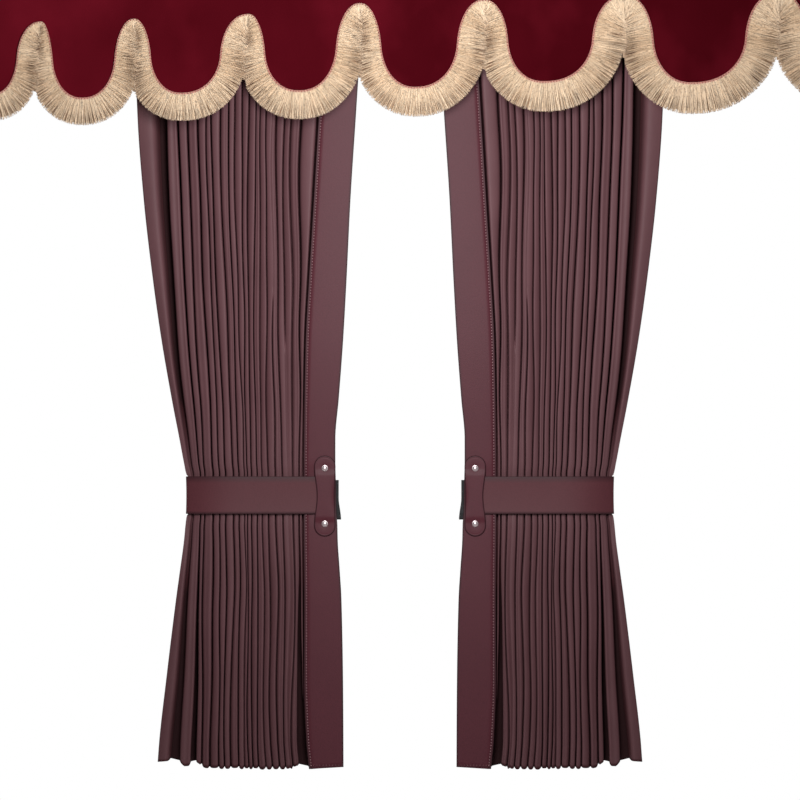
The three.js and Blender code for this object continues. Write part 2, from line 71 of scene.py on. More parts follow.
class Tree:  # a node tree and the one way to add to it
    def __init__(self, nodeTree):
        self.nodeTree = nodeTree
        nodeTree.nodes.clear()

    def node(self, kind, sockets=(), output=0, **settings):
        made = self.nodeTree.nodes.new(kind)
        for name, value in settings.items():
            setattr(made, name, value)
        for name, value in dict(sockets).items():
            if isinstance(value, Sock):
                self.nodeTree.links.new(value.socket, made.inputs[name])
            else:
                made.inputs[name].default_value = value
        return Sock(self, made.outputs[output]) if len(made.outputs) else made

    def place(self):
        return self.node("ShaderNodeTexCoord", output="Object")

    def attribute(self, name):
        return self.node("ShaderNodeAttribute", output="Fac", attribute_name=name)

    def split(self, vector):
        return self.node("ShaderNodeSeparateXYZ", {0: vector})

    def noise(self, vector, scale, detail=2.0):
        return self.node("ShaderNodeTexNoise", {"Vector": vector, "Scale": scale, "Detail": detail})

    def stretch(self, vector, scale):
        return self.node("ShaderNodeMapping", {"Vector": vector, "Scale": scale})

    def ramp(self, value, stops):
        made = self.node("ShaderNodeValToRGB", {"Fac": value})
        elements = made.socket.node.color_ramp.elements
        while len(elements) < len(stops):
            elements.new(0.5)
        for element, (position, grey) in zip(elements, stops):
            element.position = position
            element.color = (grey, grey, grey, 1)
        return made

    def blend(self, share, first, second):  # two colours, each a socket or a code
        first, second = (paint(colour) if isinstance(colour, str) else colour for colour in (first, second))
        return self.node("ShaderNodeMix", {0: share, 6: first, 7: second}, 2, data_type="RGBA")

    def layered(self, colour, *layers):  # each layer is a share and its colour
        for share, code in layers:
            colour = self.blend(share, colour, code)
        return colour

    def bump(self, height, strength, distance):
        return self.node("ShaderNodeBump", {"Height": height, "Strength": strength, "Distance": distance})


def table(columns, rows):
    return [dict(zip(columns, row)) for row in rows]


def paint(code):  # a colour as it looks on screen, made linear
    parts = [int(code[i : i + 2], 16) / 255 for i in (0, 2, 4)]
    return tuple(((c + 0.055) / 1.055) ** 2.4 if c > 0.04 else c / 12.92 for c in parts) + (1,)


def finish(name, surface, look):
    material = bpy.data.materials.new(name)
    material.use_nodes = True
    tree = Tree(material.node_tree)
    shader = tree.node("ShaderNodeBsdfPrincipled", surface(tree, look))
    tree.node("ShaderNodeOutputMaterial", {"Surface": shader})
    return material


# Finishes

plushLook = {
    "pile": "660e1d",
    "shade": "4a0610",
    "bloom": "7e1829",
    # deep is the colour of the painted shade towards the right
    "deep": "310005",
    "sheen": "c02c3c",
    "crushScale": 6.0,  # soft patches where the pile lies another way
    "brushScale": 34.0,
    "strokeScale": 10.0,  # where a hand went over the pile
    "tuftScale": 1100.0,
    "turned": [(0.0, 0.1), (0.1, 0.25), (0.3, 0.56), (0.55, 0.71), (1.0, 0.78)],  # painted shade, darker from left to right
}


def plushSurface(tree, look):
    place = tree.place()
    crush = tree.ramp(tree.noise(place, look["crushScale"], 3.0), [(0.3, 0), (0.72, 1)])
    brushed = tree.noise(tree.stretch(place, (1.0, 1.0, 0.25)), look["brushScale"], 3.0)
    tufts = tree.noise(place, look["tuftScale"])
    turned = tree.ramp(tree.split(place).pick("X") + 0.5, look["turned"])  # painted shade that darkens the plush towards the right
    stroked = tree.noise(tree.stretch(place, (1.0, 1.0, 0.8)), look["strokeScale"], 3.0)
    colour = tree.layered(
        tree.blend(crush, look["shade"], look["bloom"]),
        (0.4, look["pile"]),
        (brushed * 0.35, look["shade"]),
        (tufts * 0.4, look["shade"]),
        (turned, look["deep"]),
        (tree.ramp(stroked, [(0.48, 0.0), (0.7, 0.2)]), look["bloom"]),
    )
    return {
        "Base Color": colour,
        "Roughness": 0.92,
        "Specular IOR Level": 0.03,
        "Sheen Weight": 0.04,
        "Sheen Roughness": 0.35,
        "Sheen Tint": paint(look["sheen"]),
        "Normal": tree.bump(tufts + brushed * 0.6, 0.5, 0.0008),
    }


yarnLook = {
    "lit": "fff0d8",
    "body": "fbe4c6",
    "shade": "b48a5e",
    # the gap colour is painted shade, in the fringe and in the cloth's widest gaps
    "gap": "6a4326",
    # root is the pink of the painted reflection from the plush
    "root": "d58f86",
    "cut": "f2dccb",
    "slubScale": 260.0,
    "fleckScale": 480.0,  # short dark specks of painted shade where a strand twists under the next
    "gaps": [(0.45, 0.0), (0.75, 1.0), (0.9, 0.95), (1.0, 0.7)],  # painted shade in the gaps between clumps, towards the cut ends
    "flecks": [(0.56, 0.0), (0.68, 0.42)],
    "cutEnds": [(0.9, 0.0), (1.0, 0.12)],
    "blush": [(0.0, 0.95), (0.09, 0.0)],  # painted pink light reflected from the plush at the roots
}


def yarnSurface(tree, look):
    place = tree.place()
    along = tree.attribute("along")
    slub = tree.noise(place, look["slubScale"])
    # the gap colour blends in painted shade between clumps, in flecks and where strands cross
    colour = tree.layered(
        tree.blend(tree.attribute("tone"), look["shade"], look["lit"]),
        (0.5, look["body"]),
        (slub * 0.3, look["shade"]),
        (tree.attribute("dusk") * tree.ramp(along, look["gaps"]), look["gap"]),
        (tree.ramp(tree.noise(place, look["fleckScale"]), look["flecks"]), look["gap"]),
        (tree.ramp(along, look["cutEnds"]), look["cut"]),
        (tree.ramp(along, look["blush"]), look["root"]),
    )
    return {
        "Base Color": colour,
        "Roughness": 0.72,
        "Specular IOR Level": 0.25,
        "Sheen Weight": 0.1,
        "Normal": tree.bump(slub, 0.3, 0.0003),
    }


tapeLook, seamLook, threadLook = table(
    ("lit", "shade", "scale", "detail", "rough", "depth"),
    [
        ("dfc4a2", "c7a684", 900.0, 2.0, 0.85, 0.0003),
        ("b4605e", "8a3a3d", 1200.0, 1.0, 0.75, 0.0002),
        ("a88085", "7c545a", 1500.0, 1.0, 0.6, 0.0002),
    ],
)


def spunSurface(tree, look):
    fibre = tree.noise(tree.place(), look["scale"], look["detail"])
    return {
        "Base Color": tree.blend(fibre, look["shade"], look["lit"]),
        "Roughness": look["rough"],
        "Normal": tree.bump(fibre, 0.4, look["depth"]),
    }


clothLook = {
    "thread": "664448",
    "worn": "714e53",
    "shade": "55393d",
    # the colour of the painted shade in folds, in slits and towards the hem
    "unfaded": "320b10",
    "gap": "140607",
    "threadPitch": 0.00055,
    "slubScale": 900.0,
    "patchScale": 22.0,
    "lower": [(0.62, 0.0), (0.72, 0.09), (1.0, 0.2)],  # painted shade, darker towards the hem
    "folds": [(0.0, 0.0), (0.35, 0.22), (0.95, 0.9)],  # painted shade in the folds of the front
    # painted shade, near black, deep in the widest gaps
    "gaps": [(0.94, 0.0), (1.0, 0.7)],
}
clothBackLook = {**clothLook, "folds": None}


def clothSurface(tree, look):
    onCloth = tree.node("ShaderNodeUVMap", uv_map="cloth")
    place = tree.place()
    across = tree.split(onCloth)
    turns = 2 * math.pi / look["threadPitch"]
    weave = (across.pick("X") * turns).sine() * (across.pick("Y") * turns).sine() * 0.5 + 0.5
    slub = tree.noise(tree.stretch(onCloth, (1.0, 0.06, 1.0)), look["slubScale"])
    drop = tree.split(place).pick("Z") * -1.0
    colour = tree.layered(
        tree.blend(tree.noise(place, look["patchScale"], 3.0), look["shade"], look["worn"]),
        (0.55, look["thread"]),
        (slub * 0.3, look["shade"]),
        (tree.ramp(drop, look["lower"]), look["unfaded"]),
    )
    roughness = 0.5 + slub * 0.1
    # painted shade where the mesh marks folds, slits and the hem
    if look["folds"]:
        foldShade = tree.attribute("foldShade")
        unfaded = tree.ramp(foldShade, look["folds"])
        gaps = tree.ramp(foldShade, look["gaps"])
        colour = tree.layered(colour, (unfaded, look["unfaded"]), (gaps, look["gap"]))
        roughness = roughness + unfaded * 0.35
    return {
        "Base Color": colour,
        "Roughness": roughness,
        "Specular IOR Level": 0.2,
        "Normal": tree.bump(weave * 0.5 + slub, 0.22, 0.0002),
    }


bandLook = {
    "coat": "501f29",
    "high": "59242f",
    "low": "411620",
    "rim": "2a1318",
    "grain": 820.0,
    "poreScale": 2400.0,
    "patchScale": 14.0,
    "warpScale": 300.0,
    "warp": 0.0012,  # the grain is not quite even
}
beltLook = {**bandLook, "coat": "55292f", "high": "5e2f36", "low": "462026"}


def leatheretteSurface(tree, look):
    place = tree.place()
    warp = tree.stretch(tree.noise(place, look["warpScale"]).pick("Color"), (look["warp"],) * 3)
    warped = tree.node("ShaderNodeVectorMath", {0: place, 1: warp}, operation="ADD")
    grain = {"Vector": warped, "Scale": look["grain"]}
    pebbles = tree.node("ShaderNodeTexVoronoi", grain, feature="SMOOTH_F1")
    pores = tree.noise(place, look["poreScale"])
    colour = tree.layered(
        tree.blend(tree.noise(place, look["patchScale"], 3.0), look["low"], look["high"]),
        (0.6, look["coat"]),
        (tree.ramp(pebbles, [(0.25, 0.0), (0.75, 0.4)]), look["low"]),
        (tree.attribute("rim") * 0.75, look["rim"]),  # cut edges are inked dark, and the same colour paints shade beside rolled edges, in the stitch groove and on the tab's back
    )
    return {
        "Base Color": colour,
        "Roughness": 0.46 + pores * 0.16,
        "Specular IOR Level": 0.27,
        "Normal": tree.bump(1 - pebbles + pores * 0.4, 0.2, 0.0003),
    }


hookLook = {"black": "201f21", "lint": "4a484b", "hookScale": 900.0, "lintScale": 120.0}


def hookSurface(tree, look):
    place = tree.place()
    spots = {"Vector": place, "Scale": look["hookScale"], "Randomness": 0.45}
    hooks = tree.node("ShaderNodeTexVoronoi", spots)
    lint = tree.ramp(tree.noise(place, look["lintScale"], 3.0), [(0.55, 0.0), (0.8, 0.6)])
    return {
        "Base Color": tree.blend(lint, look["black"], look["lint"]),
        "Roughness": 0.6 + hooks * 0.3,
        "Normal": tree.bump(1 - hooks, 0.7, 0.0006),
    }


nickelLook = {"bright": "f2e4e6", "dull": "c9b6b9", "rubScale": 700.0}


def nickelSurface(tree, look):
    rubbed = tree.noise(tree.place(), look["rubScale"], 4.0)
    return {
        "Base Color": tree.blend(rubbed, look["dull"], look["bright"]),
        "Metallic": 0.8,
        "Roughness": 0.26 + rubbed * 0.16,
        "Normal": tree.bump(rubbed, 0.06, 0.0002),
    }


plush = finish("burgundyPlush", plushSurface, plushLook)
yarn = finish("creamYarn", yarnSurface, yarnLook)
tapeCloth = finish("fringeTape", spunSurface, tapeLook)
pleatCloth = finish("mauveCloth", clothSurface, clothLook)
pleatBack = finish("mauveClothBack", clothSurface, clothBackLook)
leatherette = finish("mauveLeatherette", leatheretteSurface, bandLook)
beltLeatherette = finish("mauveBeltLeatherette", leatheretteSurface, beltLook)
hookTape = finish("blackHookTape", hookSurface, hookLook)
nickel = finish("polishedNickel", nickelSurface, nickelLook)
sewingThread = finish("mauveThread", spunSurface, threadLook)
seamThread = finish("roseThread", spunSurface, seamLook)
print("finishes made:", len(bpy.data.materials))


# Numbers and meshes

mirror = np.array([-1, 1, 1])


def between(value, start, end):  # 0 up to the start, 1 from the end on
    return np.clip((value - start) / (end - start), 0, 1)


def ease(share):
    return share * share * (3 - 2 * share)


def hump(value, width):  # 1 in the middle, fading to both sides
    return np.exp(-((value / width) ** 2))


def runLengths(line):
    return np.r_[0, np.cumsum(np.linalg.norm(np.diff(line, axis=0), axis=1))]


def valuesAlong(values, lengths, along):
    return np.stack([np.interp(along, lengths, column) for column in values.T], axis=1)


def outsOf(ways):  # square to a line's direction
    outs = np.c_[ways[:, 1], -ways[:, 0]]
    return outs / np.linalg.norm(outs, axis=1)[:, None]


def flip(values, side):  # columns run the other way on the right, which mirrors the left
    return values if side == "left" else values[:, ::-1]


def onSide(points, side):
    return points if side == "left" else flip(points, side) * mirror


def grid(*parts):  # x, y and z, or the two ways across a cloth, as one array
    return np.stack(np.broadcast_arrays(*parts), axis=-1)


def linkPiece(name, mesh, material):
    piece = bpy.data.objects.new(name, mesh)
    bpy.context.scene.collection.objects.link(piece)
    if material.name not in mesh.materials:
        mesh.materials.append(material)
    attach(piece, "root")
    return piece


def thicken(piece, name, thickness, offset):
    solid = piece.modifiers.new(name, "SOLIDIFY")
    solid.thickness = thickness * mm
    solid.offset = offset
    return solid


def setColumns(mesh, columns):
    for name, values in columns.items():
        kind, field = ("FLOAT_VECTOR", "vector") if values.ndim > 1 else ("FLOAT", "value")
        mesh.attributes.new(name, kind, "POINT").data.foreach_set(field, values.astype(np.float32).ravel())


def plainMesh(name, points, edges=(), faces=()):
    mesh = bpy.data.meshes.new(name)
    mesh.from_pydata((points.reshape(-1, 3) * mm).tolist(), edges, faces)
    return mesh


def gridMesh(name, points, uv):  # rows from the top down, columns from left to right, facing the viewer
    rows, columns = points.shape[:2]
    index = np.arange(rows * columns).reshape(rows, columns)
    corners = [index[:-1, :-1], index[1:, :-1], index[1:, 1:], index[:-1, 1:]]
    faces = np.stack([corner.ravel() for corner in corners], axis=1)
    mesh = plainMesh(name, points, faces=faces.tolist())
    layer = mesh.uv_layers.new(name="cloth")
    layer.data.foreach_set("uv", (uv.reshape(-1, 2)[faces.ravel()] * mm).astype(np.float32).ravel())
    mesh.shade_smooth()
    return mesh


def ringMesh(name, rings):  # closed rings in a row, with both ends filled
    rows, count = rings.shape[:2]
    index = np.arange(rows * count).reshape(rows, count)
    after = np.roll(index, -1, axis=1)
    faces = np.stack([index[:-1], after[:-1], after[1:], index[1:]], axis=-1).reshape(-1, 4).tolist()
    mesh = plainMesh(name, rings, faces=faces + index[[0, -1]].tolist())
    work = bmesh.new()
    work.from_mesh(mesh)
    bmesh.ops.recalc_face_normals(work, faces=work.faces)
    work.to_mesh(mesh)
    work.free()
    mesh.shade_smooth()
    return mesh


def pathMesh(name, lines):  # open lines of points for a tree to follow
    starts = np.cumsum([0] + [len(line) for line in lines[:-1]])
    edges = [(start + i, start + i + 1) for start, line in zip(starts, lines) for i in range(len(line) - 1)]
    return plainMesh(name, np.concatenate(lines), edges)


section = {  # of a leatherette strip
    "roundSteps": 5,
    "crownPlaces": (0.18, 0.92, 9),
    "shoulder": 1.3,  # past its rounded edge the front swells a little
    "swell": 0.05,
    "groove": [(-0.8, 0.0), (-0.4, 0.7), (0, 1.0), (0.4, 0.7), (0.8, 0.0)],  # across, and share of its depth
    # painted shade in the stitch groove
    "grooveShade": 0.7,
}


def stripRing(thickness, radius, crown, groove=None):
    # round the section: share of the strip's width, distance added to that, and depth from its front
    turn = np.linspace(0, math.pi / 2, section["roundSteps"])
    lead = [(radius * (1 - math.cos(t)), radius * (1 - math.sin(t))) for t in turn]
    crowned = [(s, 0, -crown * (1 - (2 * s - 1) ** 2)) for s in np.linspace(*section["crownPlaces"])]
    shoulder, swell = radius + section["shoulder"], section["swell"]
    front = [(0, a, d) for a, d in lead] + [(0, shoulder, -swell)]
    if groove:
        front += [(0, groove["inset"] + a, groove["depth"] * dip) for a, dip in section["groove"]]
    front += crowned + [(1, -shoulder, -swell)] + [(1, -a, d) for a, d in reversed(lead)]
    back = [(1, -a, thickness - d) for a, d in lead]
    back += [(s, a, thickness + d) for s, a, d in reversed(crowned)]
    back += [(0, a, thickness - d) for a, d in reversed(lead)]
    return np.array(front + back)


def ringPiece(side, name, rings, material):
    mesh = ringMesh(side + name, onSide(rings, side))
    return linkPiece(side + name, mesh, material)


def markInkAndShade(piece, ring, radius, side, rolledShade=0.0):  # 1 on the inked cut edges of a strip, less as painted shade beside them, and painted shade in the stitch groove
    share, added, depth = ring.T
    atEdge = np.abs(share - 0.5) > 0.49
    rounded = radius * 1.01
    rim = atEdge & (np.abs(added) < rounded)
    beside = rolledShade * (atEdge & (np.abs(added) < radius + section["shoulder"] + 0.1))
    stitched = section["grooveShade"] * ((share == 0) & (added > rounded) & (depth > 0))
    marks = np.maximum(np.maximum(rim, beside), stitched)
    rows = len(piece.data.vertices) // len(ring)
    setColumns(piece.data, {"rim": flip(np.tile(marks, (rows, 1)), side).ravel()})


class GrowTree(Tree):  # a geometry tree with named sizes
    def __init__(self, name, sizes):
        self.group = bpy.data.node_groups.new(name, "GeometryNodeTree")
        super().__init__(self.group)
        self.sizes = sizes
        self.group.interface.new_socket("Geometry", in_out="INPUT", socket_type="NodeSocketGeometry")
        for label, value in sizes.items():
            kind = "NodeSocketInt" if isinstance(value, int) else "NodeSocketFloat"
            self.group.interface.new_socket(label, in_out="INPUT", socket_type=kind)
        self.group.interface.new_socket("Geometry", in_out="OUTPUT", socket_type="NodeSocketGeometry")
        self.entry = self.node("NodeGroupInput")

    def size(self, label):
        return self.entry.pick(label)

    def named(self, label, kind):
        return self.node("GeometryNodeInputNamedAttribute", {"Name": label}, data_type=kind)

    def scatter(self, points, shape, way, length, thickness):  # one shape at each point, along its way
        turned = self.node("FunctionNodeAlignRotationToVector", {"Vector": way}, axis="X")
        size = self.node("ShaderNodeCombineXYZ", {"X": length, "Y": thickness, "Z": thickness})
        sockets = {"Points": points, "Instance": shape, "Rotation": turned, "Scale": size}
        return self.realize(self.node("GeometryNodeInstanceOnPoints", sockets))

    def realize(self, placed):
        return self.node("GeometryNodeRealizeInstances", {0: placed})

    def close(self, geometry, material):
        smooth = self.node("GeometryNodeSetShadeSmooth", {0: geometry})
        done = self.node("GeometryNodeSetMaterial", {"Geometry": smooth, "Material": material})
        self.node("NodeGroupOutput", {0: done})

    def grow(self, name, mesh):  # runs the tree on a mesh and keeps the result as a plain one
        holder = bpy.data.objects.new(name, mesh)
        bpy.context.scene.collection.objects.link(holder)
        modifier = holder.modifiers.new("grow", "NODES")
        modifier.node_group = self.group
        for item in self.group.interface.items_tree:
            if item.in_out == "INPUT" and item.name in self.sizes:
                modifier[item.identifier] = self.sizes[item.name]
        evaluated = holder.evaluated_get(bpy.context.evaluated_depsgraph_get())
        made = bpy.data.meshes.new_from_object(evaluated)
        bpy.data.objects.remove(holder)
        made.name = name
        return made


def stitchTree(name, stitch, material):  # one stitch at each step along the lines
    tree = GrowTree(name, {label: stitch[label.lower()] * mm for label in ("Pitch", "Length", "Thickness")})
    line = tree.node("GeometryNodeMeshToCurve", {0: tree.entry})
    pitch = {"Curve": line, "Length": tree.size("Pitch")}
    steps = tree.node("GeometryNodeResampleCurve", pitch, mode="LENGTH")
    shape = tree.node("GeometryNodeMeshUVSphere", {"Segments": 6, "Rings": 4, "Radius": 0.5})
    way = tree.node("GeometryNodeInputTangent")
    tree.close(tree.scatter(steps, shape, way, tree.size("Length"), tree.size("Thickness")), material)
    return tree


# Valance

valance = {
    "thickness": 2.5,
    "flat": (1330.0, 199.0),
    "meanDrop": 165.0,  # of the scallops, for the flat area
    "underlap": 4.0,  # the plush runs on under the tape of the fringe
    "rows": 30,
    "quarterSteps": 16,
    "leastStep": 0.05,  # across, between two columns
    "fullness": 0.87,  # below 1 the rounds of the edge are fuller than ellipses
    "slant": 0.11,  # and their sides lean by this share of their height
    "waveDepth": 4.0,
    "waveLength": 212.0,
    "wavePhase": 0.7,
    "ripple": 1.0,
    "rippleLength": 91.0,
    "fullDrop": 205.0,
    "crumple": 0.9,  # uneven hang between the waves
    "crumpleLengths": ((37.0, 29.0), (61.0, -43.0)),  # across and down
    "crumpleFrom": 60.0,
}
arches = table(  # top of each arch of the edge and its reach to either side
    ("x", "z", "left", "right"),
    [
        (-645, -102, 0, 22),
        (-556, -104, 27, 20),
        (-448, -103, 30, 14),
        (-332, -99.5, 24, 20.5),
        (-189, -93.5, 35, 20),
        (-50, -80, 29.5, 26),
        (105, -75.5, 33.5, 29.5),
        (281, -70, 40.5, 35),
        (473, -66, 41.5, 36),
        (685, -66, 44, 0),
    ],
)
tongues = [  # x and z of the lowest point between each pair of arches
    (-602, -192),
    (-508, -193),
    (-397, -198),
    (-273.5, -192),
    (-126, -189),
    (19, -184.5),
    (179.5, -177.5),
    (363, -179),
    (579, -178.5),
]
leftEnd, rightEnd = arches[0]["x"], arches[-1]["x"]


def waveAt(x, z):
    down = np.minimum(1, -z / valance["fullDrop"])
    broad = valance["waveDepth"] * np.sin(2 * math.pi * x / valance["waveLength"] + valance["wavePhase"])
    fine = valance["ripple"] * np.sin(2 * math.pi * x / valance["rippleLength"])
    return down * (broad + fine)


def onWave(places, depth):  # points at a depth from the valance's middle, which hangs in waves
    x, z = places.T
    return np.c_[x, depth + waveAt(x, z), z]


def crumpleAt(x, z):
    first, second = (np.sin(x / across + z / down) for across, down in valance["crumpleLengths"])
    return valance["crumple"] * first * second * np.minimum(1, -z / valance["crumpleFrom"])


def scallopEdge(steps):  # each side of a tongue is two full quarter rounds that meet on a slant halfway up
    turn = np.linspace(0, math.pi / 2, steps + 1)

    def quarter(reach, half):  # from its outermost point to halfway up
        lead = valance["slant"] * half
        across = (reach - lead) * np.sin(turn) ** valance["fullness"] + lead * (1 - np.cos(turn))
        return across, half * np.cos(turn) ** valance["fullness"]

    runs = []
    for (tongueX, tongueZ), start, end in zip(tongues, arches[:-1], arches[1:]):
        for arch, side, reach in ((start, 1, start["right"]), (end, -1, end["left"])):
            middle = (arch["z"] + tongueZ) / 2
            half = arch["z"] - middle
            across, rise = quarter(reach, half)
            upper = np.c_[arch["x"] + side * across, middle + rise]
            across, rise = quarter(side * (tongueX - arch["x"]) - reach, half)
            lower = np.c_[tongueX - side * across, middle - rise]
            run = np.concatenate([upper[:-1], lower[::-1]])
            runs.append(run[:-1] if side > 0 else run[:0:-1])
    runs.append(np.array([[rightEnd, arches[-1]["z"]]]))
    return np.concatenate(runs)


def evenSteps(line, pitch):  # places along a line, each with its direction out of the plush
    lengths = runLengths(line)
    along = np.arange(pitch / 2, lengths[-1], pitch)
    ways = valuesAlong(np.gradient(line, lengths, axis=0), lengths, along)
    return along, valuesAlong(line, lengths, along), outsOf(ways)


edge = scallopEdge(valance["quarterSteps"])
edgeOuts = outsOf(np.gradient(edge, axis=0))


def buildPanel():
    lower = edge + edgeOuts * valance["underlap"]
    lower[0, 0], lower[-1, 0] = leftEnd, rightEnd
    ahead = np.r_[-np.inf, np.maximum.accumulate(lower[:, 0])[:-1]]
    lower = lower[lower[:, 0] > ahead + valance["leastStep"]]  # in a narrow arch the underlap turns back
    x = lower[:, 0]
    z = np.linspace(0, 1, valance["rows"])[:, None] * lower[:, 1]
    mesh = gridMesh("valancePanel", grid(x, waveAt(x, z) + crumpleAt(x, z), z), grid(x, z))
    piece = linkPiece("valancePanel", mesh, plush)
    thicken(piece, "cloth", valance["thickness"], 0)
    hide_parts("valance_panel")
    return piece


fringe = {
    "tapeOverlap": 0.5,
    "tapeWidth": 5.5,
    "tapeThickness": 1.6,
    "tapeLip": 0.4,
    "tapeBevel": 0.3,
    "standOff": 0.5,
    "length": (31.6, 40.4),  # from the left end to the right one
    "sideways": 0.05,  # strands that hang at a slant are this much shorter
    "level": (-0.1, 0.2),  # quite level ones are shorter at the left, and close the wide arches at the right
    "levelPower": 6,
    "sameStretch": 6.0,  # places nearer than this are on the same stretch of the edge
    "meeting": 1.02,  # with less room than this share of the length, strands cross those of the other side
    "overlap": 6.0,  # at most
    "held": (1.15, 0.75),  # shares of the length from which, and at which, the room holds a strand back
    "spacing": 0.54,  # between the strands of one layer
    "strand": 0.33,  # half its thickness
    "taper": 0.15,
    "steps": 5,
    "clumps": 2000,
    "clump": (1.3, 3.4),  # strands lean together towards their cut ends over such widths
    "clumping": (0.1, 0.5),
    "gapEdge": (0.62, 0.84),  # painted shade shows in the gaps beside the clumps
    "gapPower": 1.2,
    "patchLengths": (11.0, 23.0),  # down and across
    # strands that hang sideways get painted shade
    "sidewaysShade": 0.4,
    "uneven": 0.007,
    "crossing": 3.0,  # in an arch the strands from the left lie unevenly over those from the right
    "crossingChance": 2.4,
    "crossingSwing": 0.35,
    "swings": ((1.0, 6.1, 70.0), (0.7, 2.9, 40.0)),  # share, and lengths down and across
    "shadeFrom": (-95.0, -135.0),  # they hardly darken at the tops of the arches
    "leanChance": 0.028,
    "rooted": (0.55, 1.15),  # shares of the tape's overlap
    "tipChance": 0.3,
    "tipApart": 0.35,  # where they cross, forward or back
    "toneChance": 0.2,
    "curl": 0.6,
    "droop": 2.2,
    "seed": 7,
    "clumpSeed": 27,
    "sharedSeed": 37,
}
fringeLayers = table(  # y of roots and tips against the tape's front, share of the length, tone, and painted shade at the tips; the back layer's low tone is painted shade as well
    ("name", "root", "tip", "share", "tone", "dusk"),
    [
        ("fringeFront", -0.2, -0.9, 1.0, 0.74, 0.0),
        ("fringeMiddle", 0.1, -0.2, 0.995, 0.62, 0.0),
        ("fringeBack", 1.5, 1.6, 1.02, 0.15, 0.5),
    ],
)
tapeBack = -valance["thickness"] / 2 - fringe["standOff"]
tapeFront = tapeBack - fringe["tapeThickness"]


def roomBeside(places, outs):  # distance square to the edge before another stretch of it is nearer
    across = edge[None, :, :] - places[:, None, :]
    ahead = 2 * np.einsum("ijk,ik->ij", across, outs)
    square = np.einsum("ijk,ijk->ij", across, across)
    counts = (ahead > 1e-6) & (square > fringe["sameStretch"] ** 2)
    room = np.where(counts, square / np.maximum(ahead, 1e-6), np.inf).min(axis=1)
    toEnd = np.where(outs[:, 0] < 0, places[:, 0] - leftEnd, rightEnd - places[:, 0])
    return np.minimum(room, toEnd / np.maximum(1e-3, np.abs(outs[:, 0])))


def strandTree():
    sizes = {"Thickness": fringe["strand"] * mm, "Taper": fringe["taper"], "Steps": fringe["steps"]}
    tree = GrowTree("fringeStrands", sizes)
    line = tree.node("GeometryNodeCurvePrimitiveLine", {"Start": (0, 0, 0), "End": (1, 0, 0)})
    line = tree.node("GeometryNodeResampleCurve", {"Curve": line, "Count": tree.size("Steps")})
    share = tree.node("GeometryNodeSplineParameter")
    narrowing = {"Curve": line, "Radius": 1 - share * tree.size("Taper")}
    line = tree.node("GeometryNodeSetCurveRadius", narrowing)
    named = {"Geometry": line, "Name": "along", "Value": share}
    line = tree.node("GeometryNodeStoreNamedAttribute", named)
    profile = tree.node("GeometryNodeCurvePrimitiveCircle", {"Resolution": 3, "Radius": 1.0})
    strand = {"Curve": line, "Profile Curve": profile, "Fill Caps": True}
    strand = tree.node("GeometryNodeCurveToMesh", strand)
    way, reach = tree.named("outward", "FLOAT_VECTOR"), tree.named("reach", "FLOAT")
    loose = tree.scatter(tree.entry, strand, way, reach, tree.size("Thickness"))
    along = tree.named("along", "FLOAT")
    bend = {0: tree.named("sag", "FLOAT_VECTOR"), "Scale": along * along}
    sag = tree.node("ShaderNodeVectorMath", bend, operation="SCALE")
    tree.close(tree.node("GeometryNodeSetPosition", {"Geometry": loose, "Offset": sag}), yarn)
    return tree


def strandReach(places, outs):  # the full length here, the room for it, and where it meets the other side
    length, level = (np.interp(places[:, 0], (leftEnd, rightEnd), fringe[key]) for key in ("length", "level"))
    slanting = np.abs(outs[:, 0])
    full = length * (1 - fringe["sideways"] * slanting + level * slanting ** fringe["levelPower"])
    room = roomBeside(places, outs)
    return full, room, room < fringe["meeting"] * full


def clumpsAlong(along):  # which clump each place is in, its place across it, and half the clump's width
    chance = np.random.default_rng(fringe["clumpSeed"])
    bounds = np.r_[-0.1, np.cumsum(chance.uniform(*fringe["clump"], fringe["clumps"]))]
    number = np.searchsorted(bounds, along) - 1
    half = (bounds[number + 1] - bounds[number]) / 2
    return number, (along - bounds[number]) / half - 1, half


